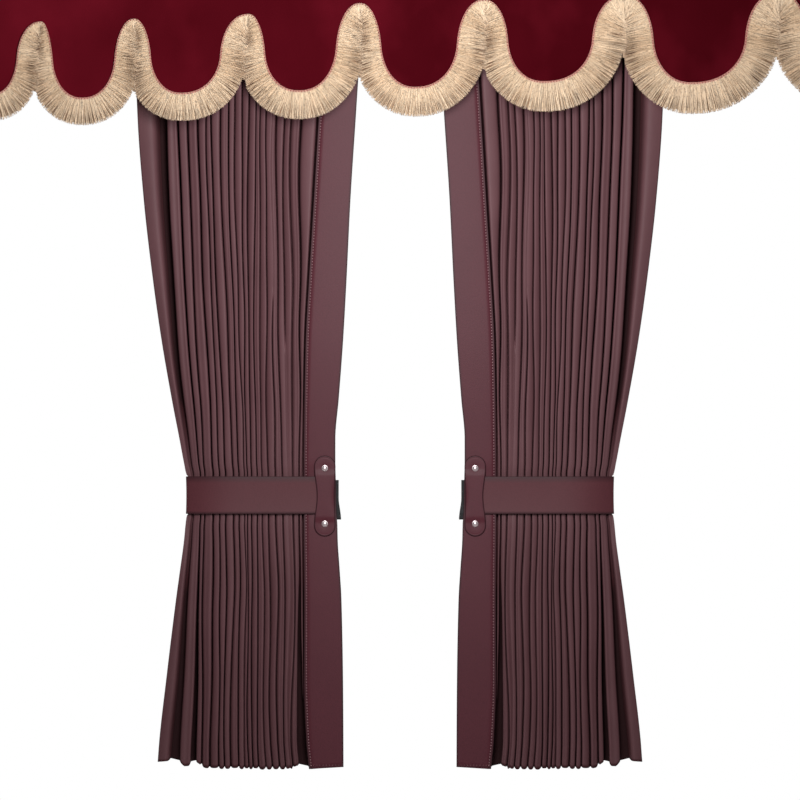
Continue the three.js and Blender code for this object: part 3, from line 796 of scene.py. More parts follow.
def strandRoots(layer, number):
    chance = np.random.default_rng(fringe["seed"] + number)
    along, places, outs = evenSteps(edge, fringe["spacing"])
    count = len(along)
    x, z = places.T
    level = np.abs(outs[:, 0])
    full, room, meets = strandReach(places, outs)
    full = full * layer["share"] * (1 + fringe["uneven"] * chance.normal(size=count))
    over = np.where(outs[:, 0] > 0, 1, -1)  # from the left, or from the right
    held = between(room / full, *fringe["held"])
    swing = sum(share * np.sin(z / down + x / across) for share, down, across in fringe["swings"])
    crossing = over * fringe["crossing"] * (1 + fringe["crossingSwing"] * swing)
    longest = np.where(meets, np.maximum(full, room + fringe["overlap"]), full)
    reach = np.maximum(1, room + crossing + fringe["crossingChance"] * chance.normal(size=count) * held)
    reach = np.minimum(longest, reach)
    clump, across, half = clumpsAlong(along)
    shared = np.random.default_rng(fringe["sharedSeed"])
    pull = shared.uniform(*fringe["clumping"], fringe["clumps"])[clump]
    gap = shared.uniform(0, 1, fringe["clumps"])[clump] ** fringe["gapPower"]
    gap = gap * (0.7 + 0.5 * level)  # less painted shade between strands that hang straight
    ways = np.c_[-outs[:, 1], outs[:, 0]]
    lean = -pull * across * half / fringe["length"][0] + fringe["leanChance"] * chance.normal(size=count)
    aims = outs + ways * lean[:, None]
    aims /= np.linalg.norm(aims, axis=1)[:, None]
    inset = fringe["tapeOverlap"] * chance.uniform(*fringe["rooted"], count)
    roots = places - outs * inset[:, None]
    ends = roots + aims * (reach + inset)[:, None]
    swell = waveAt(x, z)
    rootY = tapeFront + layer["root"] + swell
    tipY = layer["tip"] - layer["root"] + fringe["tipChance"] * chance.normal(size=count)
    tipY += waveAt(*ends.T) - swell - fringe["tipApart"] * over * held
    curl = ways * (fringe["curl"] * chance.normal(size=count))[:, None]
    curl[:, 1] -= fringe["droop"] * np.abs(aims[:, 0]) * (1 - 0.6 * held)
    patchDown, patchAcross = fringe["patchLengths"]
    patchy = np.clip(0.55 + 0.6 * np.sin(z / patchDown + x / patchAcross), 0, 1)
    under = held * patchy * np.where(over < 0, 0.8, 0.2)  # those from the right get painted shade where they pass beneath
    under *= np.maximum(0.15, between(z, *fringe["shadeFrom"]))
    # painted shade on strands that hang sideways, as in the arches
    paintedSidewaysShade = fringe["sidewaysShade"] * level**1.5 * (0.6 + 0.8 * patchy)
    mesh = plainMesh("strandRoots", np.c_[roots[:, 0], rootY, roots[:, 1]])
    columns = {
        "outward": np.c_[aims[:, 0], np.zeros(count), aims[:, 1]],
        "sag": np.c_[curl[:, 0], tipY, curl[:, 1]] * mm,
        "reach": (reach + inset) * mm,
        "tone": np.clip(layer["tone"] - paintedSidewaysShade + fringe["toneChance"] * chance.normal(size=count), 0, 1),
        "dusk": np.clip(under + gap * between(np.abs(across), *fringe["gapEdge"]) + layer["dusk"], 0, 1),
    }
    setColumns(mesh, columns)
    return mesh


bed = {
    "step": 0.68,
    "share": 0.965,
    "ragged": (0.95, 1.0),
    "rows": (0.0, 0.25, 0.5, 0.75, 0.9, 1.0),
    "rib": 0.35,
    "ribPitch": 1.86,
    "clumpRib": 0.3,
    "behind": 0.7,  # the tape's front
    "sink": 0.5,
    "thickness": 0.9,
    # the bed is painted dark, as shade deep in the fringe
    "tone": (0.05, 0.3),
    "dusk": 0.75,
    "seed": 18,
}


def buildFringeBed():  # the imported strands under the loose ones, as one ribbed sheet
    chance = np.random.default_rng(bed["seed"])
    along, places, outs = evenSteps(edge, bed["step"])
    full, room, meets = strandReach(places, outs)
    clump, across, half = clumpsAlong(along)
    ragged = chance.uniform(*bed["ragged"], fringe["clumps"])[clump] * bed["share"]
    reach = np.where(meets, np.maximum(0.5, room), full * ragged)
    shares = np.array(bed["rows"])[:, None]
    x = places[:, 0] + outs[:, 0] * reach * shares
    z = places[:, 1] + outs[:, 1] * reach * shares - fringe["droop"] * np.abs(outs[:, 0]) * shares**2
    ribs = bed["rib"] * np.sin(2 * math.pi * along / bed["ribPitch"]) + bed["clumpRib"] * across**2
    y = tapeFront + bed["behind"] + bed["sink"] * shares + ribs * shares + waveAt(x, z)
    mesh = gridMesh("fringeBed", grid(x, y, z), grid(x, z))
    columns = {
        "tone": np.tile(chance.uniform(*bed["tone"], fringe["clumps"])[clump], len(shares)),
        "along": np.repeat(shares, len(along), axis=1).ravel(),
        "dusk": np.full(x.size, bed["dusk"]),
    }
    setColumns(mesh, columns)
    piece = linkPiece("fringeBed", mesh, yarn)
    thicken(piece, "packed", bed["thickness"], -1)
    return piece


chainStitch = {"pitch": 3.5, "length": 1.8, "thickness": 1.3, "outside": 0.9, "proud": 0.5}


def buildFringe():
    tree = strandTree()
    layers = [buildFringeBed()]
    for number, layer in enumerate(fringeLayers):
        mesh = tree.grow(layer["name"], strandRoots(layer, number))
        layers.append(linkPiece(layer["name"], mesh, yarn))
    inner, outer = -fringe["tapeOverlap"], fringe["tapeWidth"] - fringe["tapeOverlap"]
    bevel = fringe["tapeBevel"]
    outline = [(inner, tapeFront + fringe["tapeLip"]), (inner + bevel, tapeFront)]
    outline += [(outer, tapeFront + bevel), (outer, tapeBack), (inner, tapeBack)]
    rings = np.stack([onWave(edge + edgeOuts * distance, depth) for distance, depth in outline], axis=1)
    tape = linkPiece("fringeTape", ringMesh("fringeTape", rings), tapeCloth)
    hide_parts("valance_fringe")
    line = onWave(edge + edgeOuts * chainStitch["outside"], tapeFront - chainStitch["proud"])
    chain = stitchTree("chainStitches", chainStitch, seamThread)
    stitches = chain.grow("fringeStitches", pathMesh("fringeSeam", [line]))
    return [*layers, tape, linkPiece("fringeStitches", stitches, seamThread)]


panel = buildPanel()
fringePieces = buildFringe()
print("valance made:", sum(len(piece.data.polygons) for piece in fringePieces), "faces in the fringe")


# Side curtains

cloth = {
    "thickness": 1.0,
    "front": 25.0,
    "rows": 150,
    "beltRows": (-735.0, -652.0, 22),  # more rows where the belt draws it in
    "beltEdges": (-668.6, -669.4, -670.2, -717.8, -718.6, -719.4),
    "hemRows": (2.5, 5.0),  # and close above the hem, for the painted shade along it
    "hemShade": 0.85,  # painted shade along the bottom edge of the hem
    "measuredRow": 40,
    "pleatColumns": 12,
    "leastPleat": 0.4,
    "bulge": 18.0,  # how square the pleats are
    "lean": 0.45,  # they lie like shingles, each falling back towards the outer edge
    "leanWidth": 10.0,  # wider ones no further than one of this width
    "bow": 0.5,
    "uneven": 1.2,  # and stand forward unevenly
    "leanChance": 0.35,
    "leanSwing": 0.2,
    "leanLength": 140.0,
    "standLength": 170.0,
    "standPhase": 2.4,
    "wander": 0.6,  # the slits are not quite straight
    "wanderLength": 240.0,
    "wanderSpread": 60.0,
    "wanderPhases": (1.3, 1.9),
    "beltHold": (30.0, 120.0),  # above and below the waist the belt holds the pleats, and lets them free
    "roundness": 12.0,  # the gathered bundle is rounder at its outer side
    "roundFrom": (190.0, 265.0),
    "roundHeight": 26.0,
    "roundFade": 60.0,
    "slitRun": 45.0,  # over which a slit that starts or ends gets its depth
    "openAbove": 0.7,  # how soon slits open away from the waist
    "openBelow": 1.5,
    "creaseWidth": 0.3,
    "softShade": 0.36,  # painted shade on the side of each pleat towards the crease that it comes out of
    "slitShade": 0.6,
    "highShade": 0.3,  # the upper parts of the slits get more painted shade
    "highFrom": (-420.0, -270.0),
    "gapShade": 2.2,  # the wide gaps beside the strip and the band get the most painted shade
    "lastSink": 18.0,  # towards the hem the last pleat sinks back
    "lastFrom": (-880.0, -1000.0),
    "tuck": 2.5,
    "margin": 8.0,
    "notch": 2.6,  # the hem is higher in the slits than on the pleats
    "notchWidth": 8.0,
    "ragged": 1.0,  # and uneven from pleat to pleat
    "hemReach": 60.0,
    "seed": 3,
}
outerStrip = {  # the flat strip at the outer edge, which turns back a little, with painted shade that grows where it turns into the first slit
    "columns": 16,
    "back": 5.0,
    "turn": 7,
    "wave": 0.6,
    "waveLength": 120.0,
    "shade": 0.15,
    "shadeFrom": 0.66,
    "shadePower": 1.3,
    "notchPower": 9,
}
# heights, each with the distances from the middle of the pair to the outer edge, the band's sewn edge and its
# leading edge, how far the pleats are set back there, and how deep they are
levelColumns = ("z", "outer", "bandEdge", "leading", "setBack", "depth")
levelRows = [
    (-25, 335, 89, 42.5, 0, 20),
    (-225, 328, 101.9, 55.4, 0, 20),
    (-325, 320.4, 107.9, 61.9, 0, 20),
    (-425, 308.9, 114, 66.8, 0, 20),
    (-500, 298.2, 118, 71, 0, 20),
    (-575, 285.2, 119.6, 76.6, 1, 19),
    (-625, 275.6, 120.2, 80.8, 2, 18.5),
    (-656, 269.8, 120.5, 80.8, 2.6, 18),
    (-668.6, 267, 120.5, 80.5, 3.9, 16),
    (-670.2, 265.3, 120.5, 80.4, 4, 16),
    (-694, 265.3, 120.5, 80, 4, 16),
    (-717.8, 265.3, 120.5, 79.4, 4, 16),
    (-719.4, 266.6, 120.5, 79.3, 3.9, 16),
    (-731, 268.3, 120.5, 78.3, 2.6, 18),
    (-750, 270.1, 120.4, 77.9, 2, 18.5),
    (-787, 275, 120, 75.5, 1.2, 19),
    (-825, 280.2, 119.8, 73.2, 0.5, 20),
    (-925, 292.4, 120, 71.2, 0, 20),
    (-1000, 300.8, 117.4, 70.7, 0, 20),
    (-1035, 303, 113.8, 70.6, 0, 20),
]
levels = dict(zip(levelColumns, np.array(levelRows, float).T))
topZ, hemZ = levels["z"][[0, -1]]
waistZ = -694
beltFree = levels["outer"] > levels["outer"].min()  # levels as if no belt drew the edge in
slitHeights = {"top": -237.5, "upper": -450, "middle": -575, "waist": -694, "low": -825, "hem": -1019}
# each slit: distance from the middle of the pair at those heights, its share of the full depth at the top and
# hem, and half its width at the top, waist and hem
slitColumns = (*slitHeights, "deepTop", "deepHem", "wideTop", "wideWaist", "wideHem")
slitRows = [
    (296, 285, 272.5, 259.5, 267.5, 280, 1.05, 0.6, 5.5, 0.65, 5.5),
    (277.5, 267.5, 258.75, 250, 252.5, 257.5, 1, 1, 0.7, 0.4, 3.2),
    (265, 257.5, 250, 245, 247.5, 247.5, 1, 0.9, 0.6, 0.3, 0.45),
    (252.5, 245, 237.5, 234.4, 233.75, 237.5, 1, 1, 0.6, 0.5, 0.45),
    (242.5, 235, 230, 226.25, 225, 226.25, 0.8, 0.8, 0.3, 0.3, 0.3),
    (236.25, 228.75, 222.5, 218.75, 217.5, 220, 0.9, 0.9, 0.45, 0.3, 0.3),
    (225, 217.5, 212.5, 208.75, 207.5, 212.5, 0.85, 0.8, 0.3, 0.3, 0.3),
    (215, 208.75, 205, 201.9, 200, 202.5, 0.9, 0.9, 0.4, 0.3, 0.3),
    (207.5, 202.5, 197.5, 195, 192.5, 195, 0.75, 0.3, 0.3, 0.25, 0.25),
    (197.5, 195, 193.75, 191.25, 190, 190, 0.8, 0.8, 0.3, 0.3, 0.3),
    (190, 190, 187.5, 186.25, 185, 185, 0.85, 0.8, 0.3, 0.3, 0.3),
    (180, 182.5, 181.25, 178.75, 177.5, 177.5, 0.8, 0.9, 0.3, 0.3, 0.3),
    (175, 175, 175, 173, 170, 168.75, 0.75, 0.5, 0.3, 0.25, 0.25),
    (167.5, 166.25, 167.5, 165, 162.5, 161.25, 0.8, 0.75, 0.3, 0.3, 0.3),
    (161, 159, 157.5, 156.25, 152.5, 152.5, 0.85, 0.8, 0.25, 0.3, 0.3),
    (155, 152.5, 150, 147, 143.75, 143.75, 1, 0.7, 0.85, 0.3, 0.3),
    (145, 145, 142, 140, 137, 139, 0.85, 0.85, 0.3, 0.2, 0.2),
    (137.5, 135, 135, 134.4, 131, 135, 0.9, 0.7, 0.4, 0.45, 0.3),
    (125, 125, 125, 126.25, 125, 121.9, 1, 1, 0.7, 0.4, 5.5),
    (104.2, 117, 121, 122.5, 121.5, 115.6, 1, 0.5, 0.4, 0.3, 0.2),
]
slits = dict(zip(slitColumns, np.array(slitRows, float).T))
slitStarts = {14: -440}  # two slits run part of the way
slitEnds = {16: -515}
lastPleat = len(slitRows) - 2  # pleats are counted from 0, from the outer edge
creases = table(  # shallow folds along some pleats: which pleat, where across it, and how deep
    ("pleat", "place", "depth"),
    [(0, 0.2, 1.6), (2, -0.2, 1.2), (6, 0.3, 1.4), (11, -0.3, 1.3), (14, 0.1, 1.5), (17, 0.2, 1.6)],
)
hemLine = [  # distance from the middle of the pair, and how much higher than hemZ the hem is there
    (305, 7.5), (290, 8.5), (280, 11.9), (275, 6), (270, 2), (263, 2), (260, 8.5), (252, 6.5), (246, 0.5),
    (238, -1.2), (200, -0.6), (170, -1.4), (140, -1.2), (133, 0.2), (127, 2.5), (110, 1.5),
]
band = {
    "width": 46.0,
    "thickness": 2.0,
    "proud": 0.6,
    "crown": 0.5,
    "radius": 0.85,
    "groove": {"inset": 3.1, "depth": 0.55},
    # painted shade beside the rolled edges
    "rolledShade": 0.3,
    "rows": 150,
    "wave": 0.25,
    "waveLength": 70.0,
    "foot": 1.2,  # the lower end is this much higher than the cloth's hem
    "footSlope": 2.5,  # and slopes down to the sewn edge
    "footFrom": (-1000.0, -1035.0),
    "turnBack": 2.6,  # the leading edge rolls back where the tie ends
    "turnAt": -702.0,
    "turnReach": 24.0,
    "turnPower": 7,
}
pieceGap = 0.3


def smoothThrough(heights, values, at):  # a smooth curve through values at falling heights, with no overshoot
    knots, values = heights[::-1], values[::-1]
    steps = np.diff(knots)
    slopes = np.diff(values) / steps
    product = slopes[:-1] * slopes[1:]
    joined = np.where(product > 0, 2 * product / (slopes[:-1] + slopes[1:] + 1e-12), 0)
    tangents = np.r_[slopes[0], joined, slopes[-1]]
    i = np.clip(np.searchsorted(knots, at) - 1, 0, len(steps) - 1)
    t = (at - knots[i]) / steps[i]
    ends = values[i] * (1 + 2 * t) * (1 - t) ** 2 + values[i + 1] * t**2 * (3 - 2 * t)
    return ends + steps[i] * (tangents[i] * t * (1 - t) ** 2 - tangents[i + 1] * t**2 * (1 - t))


def levelAt(z):
    return {key: smoothThrough(levels["z"], levels[key], z) for key in levelColumns[1:]}


def sidesAt(z):  # distances to the cloth's outer edge, as if no belt drew it in, and to the band
    outer = smoothThrough(levels["z"][beltFree], levels["outer"][beltFree], z)
    return outer, smoothThrough(levels["z"], levels["bandEdge"], z)


def slitFloors(z):  # x of each slit at each height
    outer, inner = sidesAt(z)
    heights = np.array([topZ, *slitHeights.values(), hemZ])
    outerThere, innerThere = sidesAt(np.clip(heights, slitHeights["hem"], slitHeights["top"]))
    floors = []
    for distances in zip(*(slits[key] for key in ("top", *slitHeights, "hem"))):
        places = (outerThere - distances) / (outerThere - innerThere)
        floors.append(-outer + smoothThrough(heights, places, z) * (outer - inner))
    return np.stack(floors, axis=1)


def slitDepths(z, level):
    down = ((topZ - z) / (topZ - hemZ))[:, None]
    depths = level["depth"][:, None] * (slits["deepTop"] + down * (slits["deepHem"] - slits["deepTop"]))
    for i, start in slitStarts.items():
        depths[:, i] *= between(z, start, start - cloth["slitRun"])
    for i, end in slitEnds.items():
        depths[:, i] *= between(z, end, end + cloth["slitRun"])
    return depths


def slitHalves(z):
    above = between(z, waistZ, topZ)[:, None] ** cloth["openAbove"]
    below = between(z, waistZ, hemZ)[:, None] ** cloth["openBelow"]
    atWaist = slits["wideWaist"]
    return atWaist + above * (slits["wideTop"] - atWaist) + below * (slits["wideHem"] - atWaist)


def freeOfBelt(z):  # 0 where the belt holds the cloth, 1 well away from it
    return between(np.abs(z - waistZ), *cloth["beltHold"])


def roundBack(distance, z):
    outward = between(distance, *cloth["roundFrom"])
    off = np.clip(np.abs(z - waistZ) - cloth["roundHeight"], 0, None)
    return cloth["roundness"] * outward**3 * hump(off, cloth["roundFade"])


def stripColumns(z, level, free, end, depth):  # x, depth, painted shade and rise of the hem of each column
    columns = []
    for step in np.linspace(0, 1, outerStrip["columns"]):
        back = outerStrip["back"] * free * (1 - step) ** 2 + depth * step ** outerStrip["turn"]
        wave = outerStrip["wave"] * free * np.sin(z / outerStrip["waveLength"] + step * 3)
        shade = between(step, outerStrip["shadeFrom"], 1) ** outerStrip["shadePower"]
        foldShade = np.full(len(z), outerStrip["shade"] + (1 - outerStrip["shade"]) * shade)
        x = -level["outer"] + step * (end + level["outer"])
        columns.append((x, back + wave, foldShade, cloth["notch"] * step ** outerStrip["notchPower"]))
    return columns


def creaseDip(i, step):
    reach = [(crease["depth"], abs(step - crease["place"])) for crease in creases if crease["pleat"] == i]
    return sum(depth * max(0, 1 - away / cloth["creaseWidth"]) for depth, away in reach)


def slitShade(i, step, z):  # how much painted shade the slits beside a pleat get
    intoGap = (i == 1 and step < 0) or (i == lastPleat - 1 and step > 0.99)
    if i in (0, lastPleat) or intoGap:
        return cloth["gapShade"]
    return cloth["slitShade"] + cloth["highShade"] * between(z, *cloth["highFrom"])


def pleatColumns(i, z, level, free, start, end, depths, chance):
    width = end - start
    lean, bow, stand, ragged = chance.uniform(-1, 1, 4)
    lean = 1 + cloth["leanChance"] * lean + cloth["leanSwing"] * np.sin(z / cloth["leanLength"] + i)
    lean = lean * cloth["lean"] * np.minimum(width, cloth["leanWidth"])
    swing = np.sin(z / cloth["standLength"] + i * cloth["standPhase"])
    stand = cloth["uneven"] * free * (0.6 * stand + 0.4 * swing)
    if i == lastPleat:
        stand = stand + cloth["lastSink"] * between(z, *cloth["lastFrom"])
    narrow = np.minimum(1, cloth["leanWidth"] / np.maximum(1, width))
    notch = cloth["notch"] * min(1, float(width[-1]) / cloth["notchWidth"])
    columns = []
    for step in np.sin(np.linspace(-math.pi / 2, math.pi / 2, cloth["pleatColumns"])):
        outward = ((1 - step) / 2) ** 2
        near = 1 - abs(step) ** cloth["bulge"]
        shape = lean * outward + cloth["bow"] * bow * step**2 + creaseDip(i, step)
        relief = (0.5 + 0.5 * free) * shape + stand
        deep = depths[:, i if step < 0 else i + 1] * (1 - near) + near * relief
        dark = np.clip(slitShade(i, step, z) * deep / level["depth"], 0, 1)
        # painted shade on the outer side of the pleat and down in its slits
        foldShade = np.maximum(cloth["softShade"] * narrow * outward, dark)
        lift = notch * abs(step) ** 3 + cloth["ragged"] * ragged * (1 - step**2)
        columns.append((start + width * (step + 1) / 2, deep, foldShade, lift))
    return columns


def curtainFront(z):  # x and y of the cloth's front at each height, from the outer edge to the band
    level, free = levelAt(z), freeOfBelt(z)
    depths, halves, floors = slitDepths(z, level), slitHalves(z), slitFloors(z)
    numbers = np.arange(lastPleat + 1)
    length = cloth["wanderLength"] + cloth["wanderSpread"] * np.sin(numbers * cloth["wanderPhases"][0])
    swing = np.sin(2 * math.pi * z[:, None] / length + numbers * cloth["wanderPhases"][1])
    floors[:, :-1] += cloth["wander"] * free[:, None] * swing
    columns = stripColumns(z, level, free, floors[:, 0] - halves[:, 0], depths[:, 0])
    chance = np.random.default_rng(cloth["seed"])
    starts, ends = floors + halves, floors - halves
    for i in numbers:
        end = np.maximum(starts[:, i] + cloth["leastPleat"], ends[:, i + 1])
        columns += pleatColumns(i, z, level, free, starts[:, i], end, depths, chance)
    behindBand = np.full(len(z), band["thickness"] + pieceGap - band["proud"])
    # the cloth tucked behind the band gets full painted shade
    unfaded = np.ones(len(z))
    columns.append((starts[:, -1], depths[:, -1], unfaded, cloth["notch"]))
    columns.append((-level["bandEdge"] + cloth["tuck"], behindBand, unfaded, 0))
    columns.append((-level["leading"] - cloth["margin"], behindBand, unfaded, 0))
    x, deep, foldShade = (np.stack(values, axis=1) for values in list(zip(*columns))[:3])
    lift = np.array([column[3] for column in columns])
    shallow = 1 - np.clip(deep / level["depth"][:, None], 0, 1)
    front = (cloth["front"] + level["setBack"])[:, None]
    y = front + deep + shallow * roundBack(-x, z[:, None])
    return x, y, foldShade * (0.55 + 0.45 * free[:, None]), lift


def clothPoints():
    rows = np.linspace(topZ, hemZ, cloth["rows"])
    nearBelt = np.r_[np.linspace(*cloth["beltRows"]), cloth["beltEdges"]]
    z = np.sort(np.r_[rows, nearBelt, hemZ + np.array(cloth["hemRows"])])[::-1]
    x, y, foldShade, lift = curtainFront(z)
    above = z - hemZ
    # painted shade along the bottom edge of the hem
    paintedHemShade = cloth["hemShade"] * between(above, *reversed(cloth["hemRows"]))
    foldShade = np.maximum(foldShade, paintedHemShade[:, None])
    distances, heights = np.array(hemLine)[::-1].T
    lift = lift + np.interp(-x, distances, heights)
    heights = z[:, None] + lift * (1 - between(above, 0, cloth["hemReach"])[:, None]) ** 2
    measured = cloth["measuredRow"]
    run = runLengths(np.c_[x[measured], y[measured]])
    return grid(x, y, heights), grid(run, heights), foldShade, float(run[-1])


def buildCloth(side):
    points, uv, foldShade, width = clothPoints()
    mesh = gridMesh(side + "Cloth", onSide(points, side), flip(uv, side))
    setColumns(mesh, {"foldShade": flip(foldShade, side).ravel()})
    piece = linkPiece(side + "Cloth", mesh, pleatCloth)
    mesh.materials.append(pleatBack)
    solid = thicken(piece, "cloth", cloth["thickness"], -1)
    solid.material_offset = 1
    solid.material_offset_rim = 1
    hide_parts(side + "_cloth")
    width * mm


def bandFront(z, level):
    wave = band["wave"] * np.sin(z / band["waveLength"]) * freeOfBelt(z)
    return cloth["front"] + level["setBack"] - band["proud"] + wave


def buildBand(side):
    z = np.linspace(topZ, hemZ, band["rows"])
    level = levelAt(z)
    ring = stripRing(band["thickness"], band["radius"], band["crown"], band["groove"])
    share, added, depth = ring.T
    width = level["bandEdge"] - level["leading"]
    x = -level["bandEdge"][:, None] + share * width[:, None] + added
    turnedBack = band["turnBack"] * hump(z - band["turnAt"], band["turnReach"])
    y = bandFront(z, level)[:, None] + depth + turnedBack[:, None] * share ** band["turnPower"]
    slope = band["footSlope"] * (1 - share) * between(z, *band["footFrom"])[:, None]
    rings = grid(x, y, z[:, None] + band["foot"] - slope)
    piece = ringPiece(side, "EdgeBand", rings, leatherette)
    markInkAndShade(piece, ring, band["radius"], side, band["rolledShade"])
    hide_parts(side + "_edge_band")
    side + "Cloth"


bandStitch = {
    "pitch": 3.6,
    "length": 1.9,
    "thickness": 1.5,
    "sunk": 0.6,
    "endClear": 3.0,
    "hemHeight": 3.6,
    "hemSunk": 0.35,
    "hemClear": 2.0,
    "rows": 120,
    "hemSteps": 12,
}


def buildBandStitches(side):
    clear, steps = bandStitch["endClear"], bandStitch["hemSteps"]
    z = np.linspace(topZ - clear, hemZ + clear, bandStitch["rows"])
    level = levelAt(z)
    x = -level["bandEdge"] + band["groove"]["inset"]
    down = np.c_[x, bandFront(z, level) + band["groove"]["depth"] - bandStitch["sunk"], z]
    sewn, leading = -levels["bandEdge"][-1], -levels["leading"][-1]
    hemX = np.linspace(sewn + bandStitch["hemClear"], leading - bandStitch["hemClear"], steps)
    crown = band["crown"] * (1 - np.linspace(-1, 1, steps) ** 2)
    hemY = cloth["front"] - band["proud"] - crown + bandStitch["hemSunk"]
    across = np.c_[hemX, hemY, np.full(steps, hemZ + bandStitch["hemHeight"])]
    lines = [line if side == "left" else line * mirror for line in (down, across)]
    tree = stitchTree(side + "BandSeam", bandStitch, sewingThread)
    mesh = tree.grow(side + "BandStitches", pathMesh(side + "BandLines", lines))
    linkPiece(side + "BandStitches", mesh, sewingThread)


belt = {
    "thickness": 2.2,
    "top": -670.5,
    "bottom": -717.5,
    "outer": 267.8,
    "frontEnd": 86.0,
    "frontCorner": 4.0,
    "backCorner": 9.0,
    "backEnd": 90.0,
    "stepOut": 130.0,
    "stepIn": 112.0,
    "stepCorner": 12.0,
    "tieGap": 2.0,
    "radius": 0.9,
    "crown": 0.5,
    "arcSteps": 10,
    "pitch": 6.0,
}
closure = {
    "thickness": 1.8,
    "top": -675.0,
    "bottom": -724.5,
    "sewnEnd": 104.0,
    "reach": 3.4,
    "flare": 2.9,
    "flareFrom": 0.45,
    "curl": 2.0,
    "curlPower": 4,
    "radius": 0.6,
    "rows": 24,
}
waist = dict(zip(levelColumns, min(levelRows, key=lambda row: abs(row[0] - waistZ))))
waistFront = cloth["front"] + waist["setBack"]
marginBack = waistFront - band["proud"] + band["thickness"] + pieceGap + cloth["thickness"]
closureFront = marginBack + belt["tieGap"]


def roundedLine(corners, arcSteps):  # straight runs with rounded corners
    line = []
    for i, (x, y, radius) in enumerate(corners):
        here = np.array([x, y])
        if not radius:
            line.append(here)
            continue
        before = np.array(corners[i - 1][:2]) - here
        after = np.array(corners[i + 1][:2]) - here
        before, after = before / np.linalg.norm(before), after / np.linalg.norm(after)
        half = math.acos(np.clip(before @ after, -1, 1)) / 2
        centre = here + (before + after) / np.linalg.norm(before + after) * radius / math.sin(half)
        start = here + before * radius / math.tan(half) - centre
        end = here + after * radius / math.tan(half) - centre
        sweep = math.atan2(start[0] * end[1] - start[1] * end[0], start @ end)
        for share in np.linspace(0, 1, arcSteps):
            c, s = math.cos(sweep * share), math.sin(sweep * share)
            line.append(centre + np.array([c * start[0] - s * start[1], s * start[0] + c * start[1]]))
    return np.array(line)


def buildBelt(side):
    half = belt["thickness"] / 2
    frontRun = waistFront - belt["tieGap"] - half
    backRun = waistFront + waist["depth"] + cloth["thickness"] + belt["tieGap"] + half
    endRun = closureFront + closure["thickness"] + pieceGap + half
    bend = -belt["outer"] + half
    corners = [
        (-belt["frontEnd"], frontRun, 0),
        (bend, frontRun, belt["frontCorner"]),
        (bend, backRun, belt["backCorner"]),
        (-belt["stepOut"], backRun, belt["stepCorner"]),
        (-belt["stepIn"], endRun, belt["stepCorner"]),
        (-belt["backEnd"], endRun, 0),
    ]
    line = roundedLine(corners, belt["arcSteps"])
    lengths = runLengths(line)
    along = np.unique(np.r_[lengths, np.arange(0, lengths[-1], belt["pitch"])])
    path = valuesAlong(line, lengths, along)
    path[:, 1] += between(path[:, 1], backRun, frontRun) * roundBack(-path[:, 0], waistZ)
    inward = outsOf(np.gradient(path, along, axis=0))
    ring = stripRing(belt["thickness"], belt["radius"], belt["crown"])
    depth = ring[:, 2] - half
    height = belt["top"] - belt["bottom"]
    z = belt["top"] - ring[:, 0] * height - ring[:, 1]
    x = path[:, :1] - inward[:, :1] * depth
    y = path[:, 1:] - inward[:, 1:] * depth
    piece = ringPiece(side, "TieBelt", grid(x, y, z), beltLeatherette)
    markInkAndShade(piece, ring, belt["radius"], side)
    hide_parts(side + "_tie_belt")
    side + "Cloth"


def buildClosure(side):
    down = np.linspace(0, 1, closure["rows"])
    z = closure["top"] + down * (closure["bottom"] - closure["top"])
    ring = stripRing(closure["thickness"], closure["radius"], 0.0)
    reach = closure["reach"] + closure["flare"] * ease(between(down, closure["flareFrom"], 1))
    width = closure["sewnEnd"] - waist["leading"] + reach
    out = ring[:, 0] + ring[:, 1] / width[:, None]
    x = -closure["sewnEnd"] + out * width[:, None]
    y = closureFront + ring[:, 2] - closure["curl"] * np.clip(out, 0, 1) ** closure["curlPower"]
    piece = ringPiece(side, "TieClosure", grid(x, y, z[:, None]), hookTape)
    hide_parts(side + "_tie_closure")


tab = {
    "thickness": 1.8,
    "middle": 94.0,
    "centre": -695.0,
    "halfLength": 50.5,
    "endRadius": 13.4,
    "neckHalf": 11.2,
    "neckShift": 1.2,
    "rise": 34.0,
    "level": 25.5,
    "endClear": 2.0,
    "radius": 1.5,
    "pressed": 0.22,  # a line pressed in along the edge
    "pressedAt": 2.4,
    "pressedWidth": 0.5,
    "dimple": 0.8,  # the rivets draw the tab in
    "dimpleWidth": 5.2,
    "turnBack": 1.8,  # the edge beside the band's leading edge turns back
    "turnReach": 20.0,
    "turnPower": 6,
    # width of the dark edge, partly ink and partly painted shade
    "inkAndShadeWidth": 1.2,
    "rows": 90,
    "columns": 22,
}
stud = {
    "radius": 3.9,
    "height": 2.2,
    "rim": 0.5,
    "standOff": 0.1,
    "spacing": 69.4,
    "dome": 0.82,
    "domeSteps": 7,
    "turns": 32,
}
tabBase = waistFront - band["proud"] - band["crown"] - tab["endClear"]
tabRaised = waistFront - belt["tieGap"] - belt["thickness"] - pieceGap
tabEnd = tab["halfLength"] - tab["endRadius"]  # centre of its rounded end


def tabBack(height):
    return tabBase + (tabRaised - tabBase) * ease(between(np.abs(height), tab["rise"], tab["level"]))


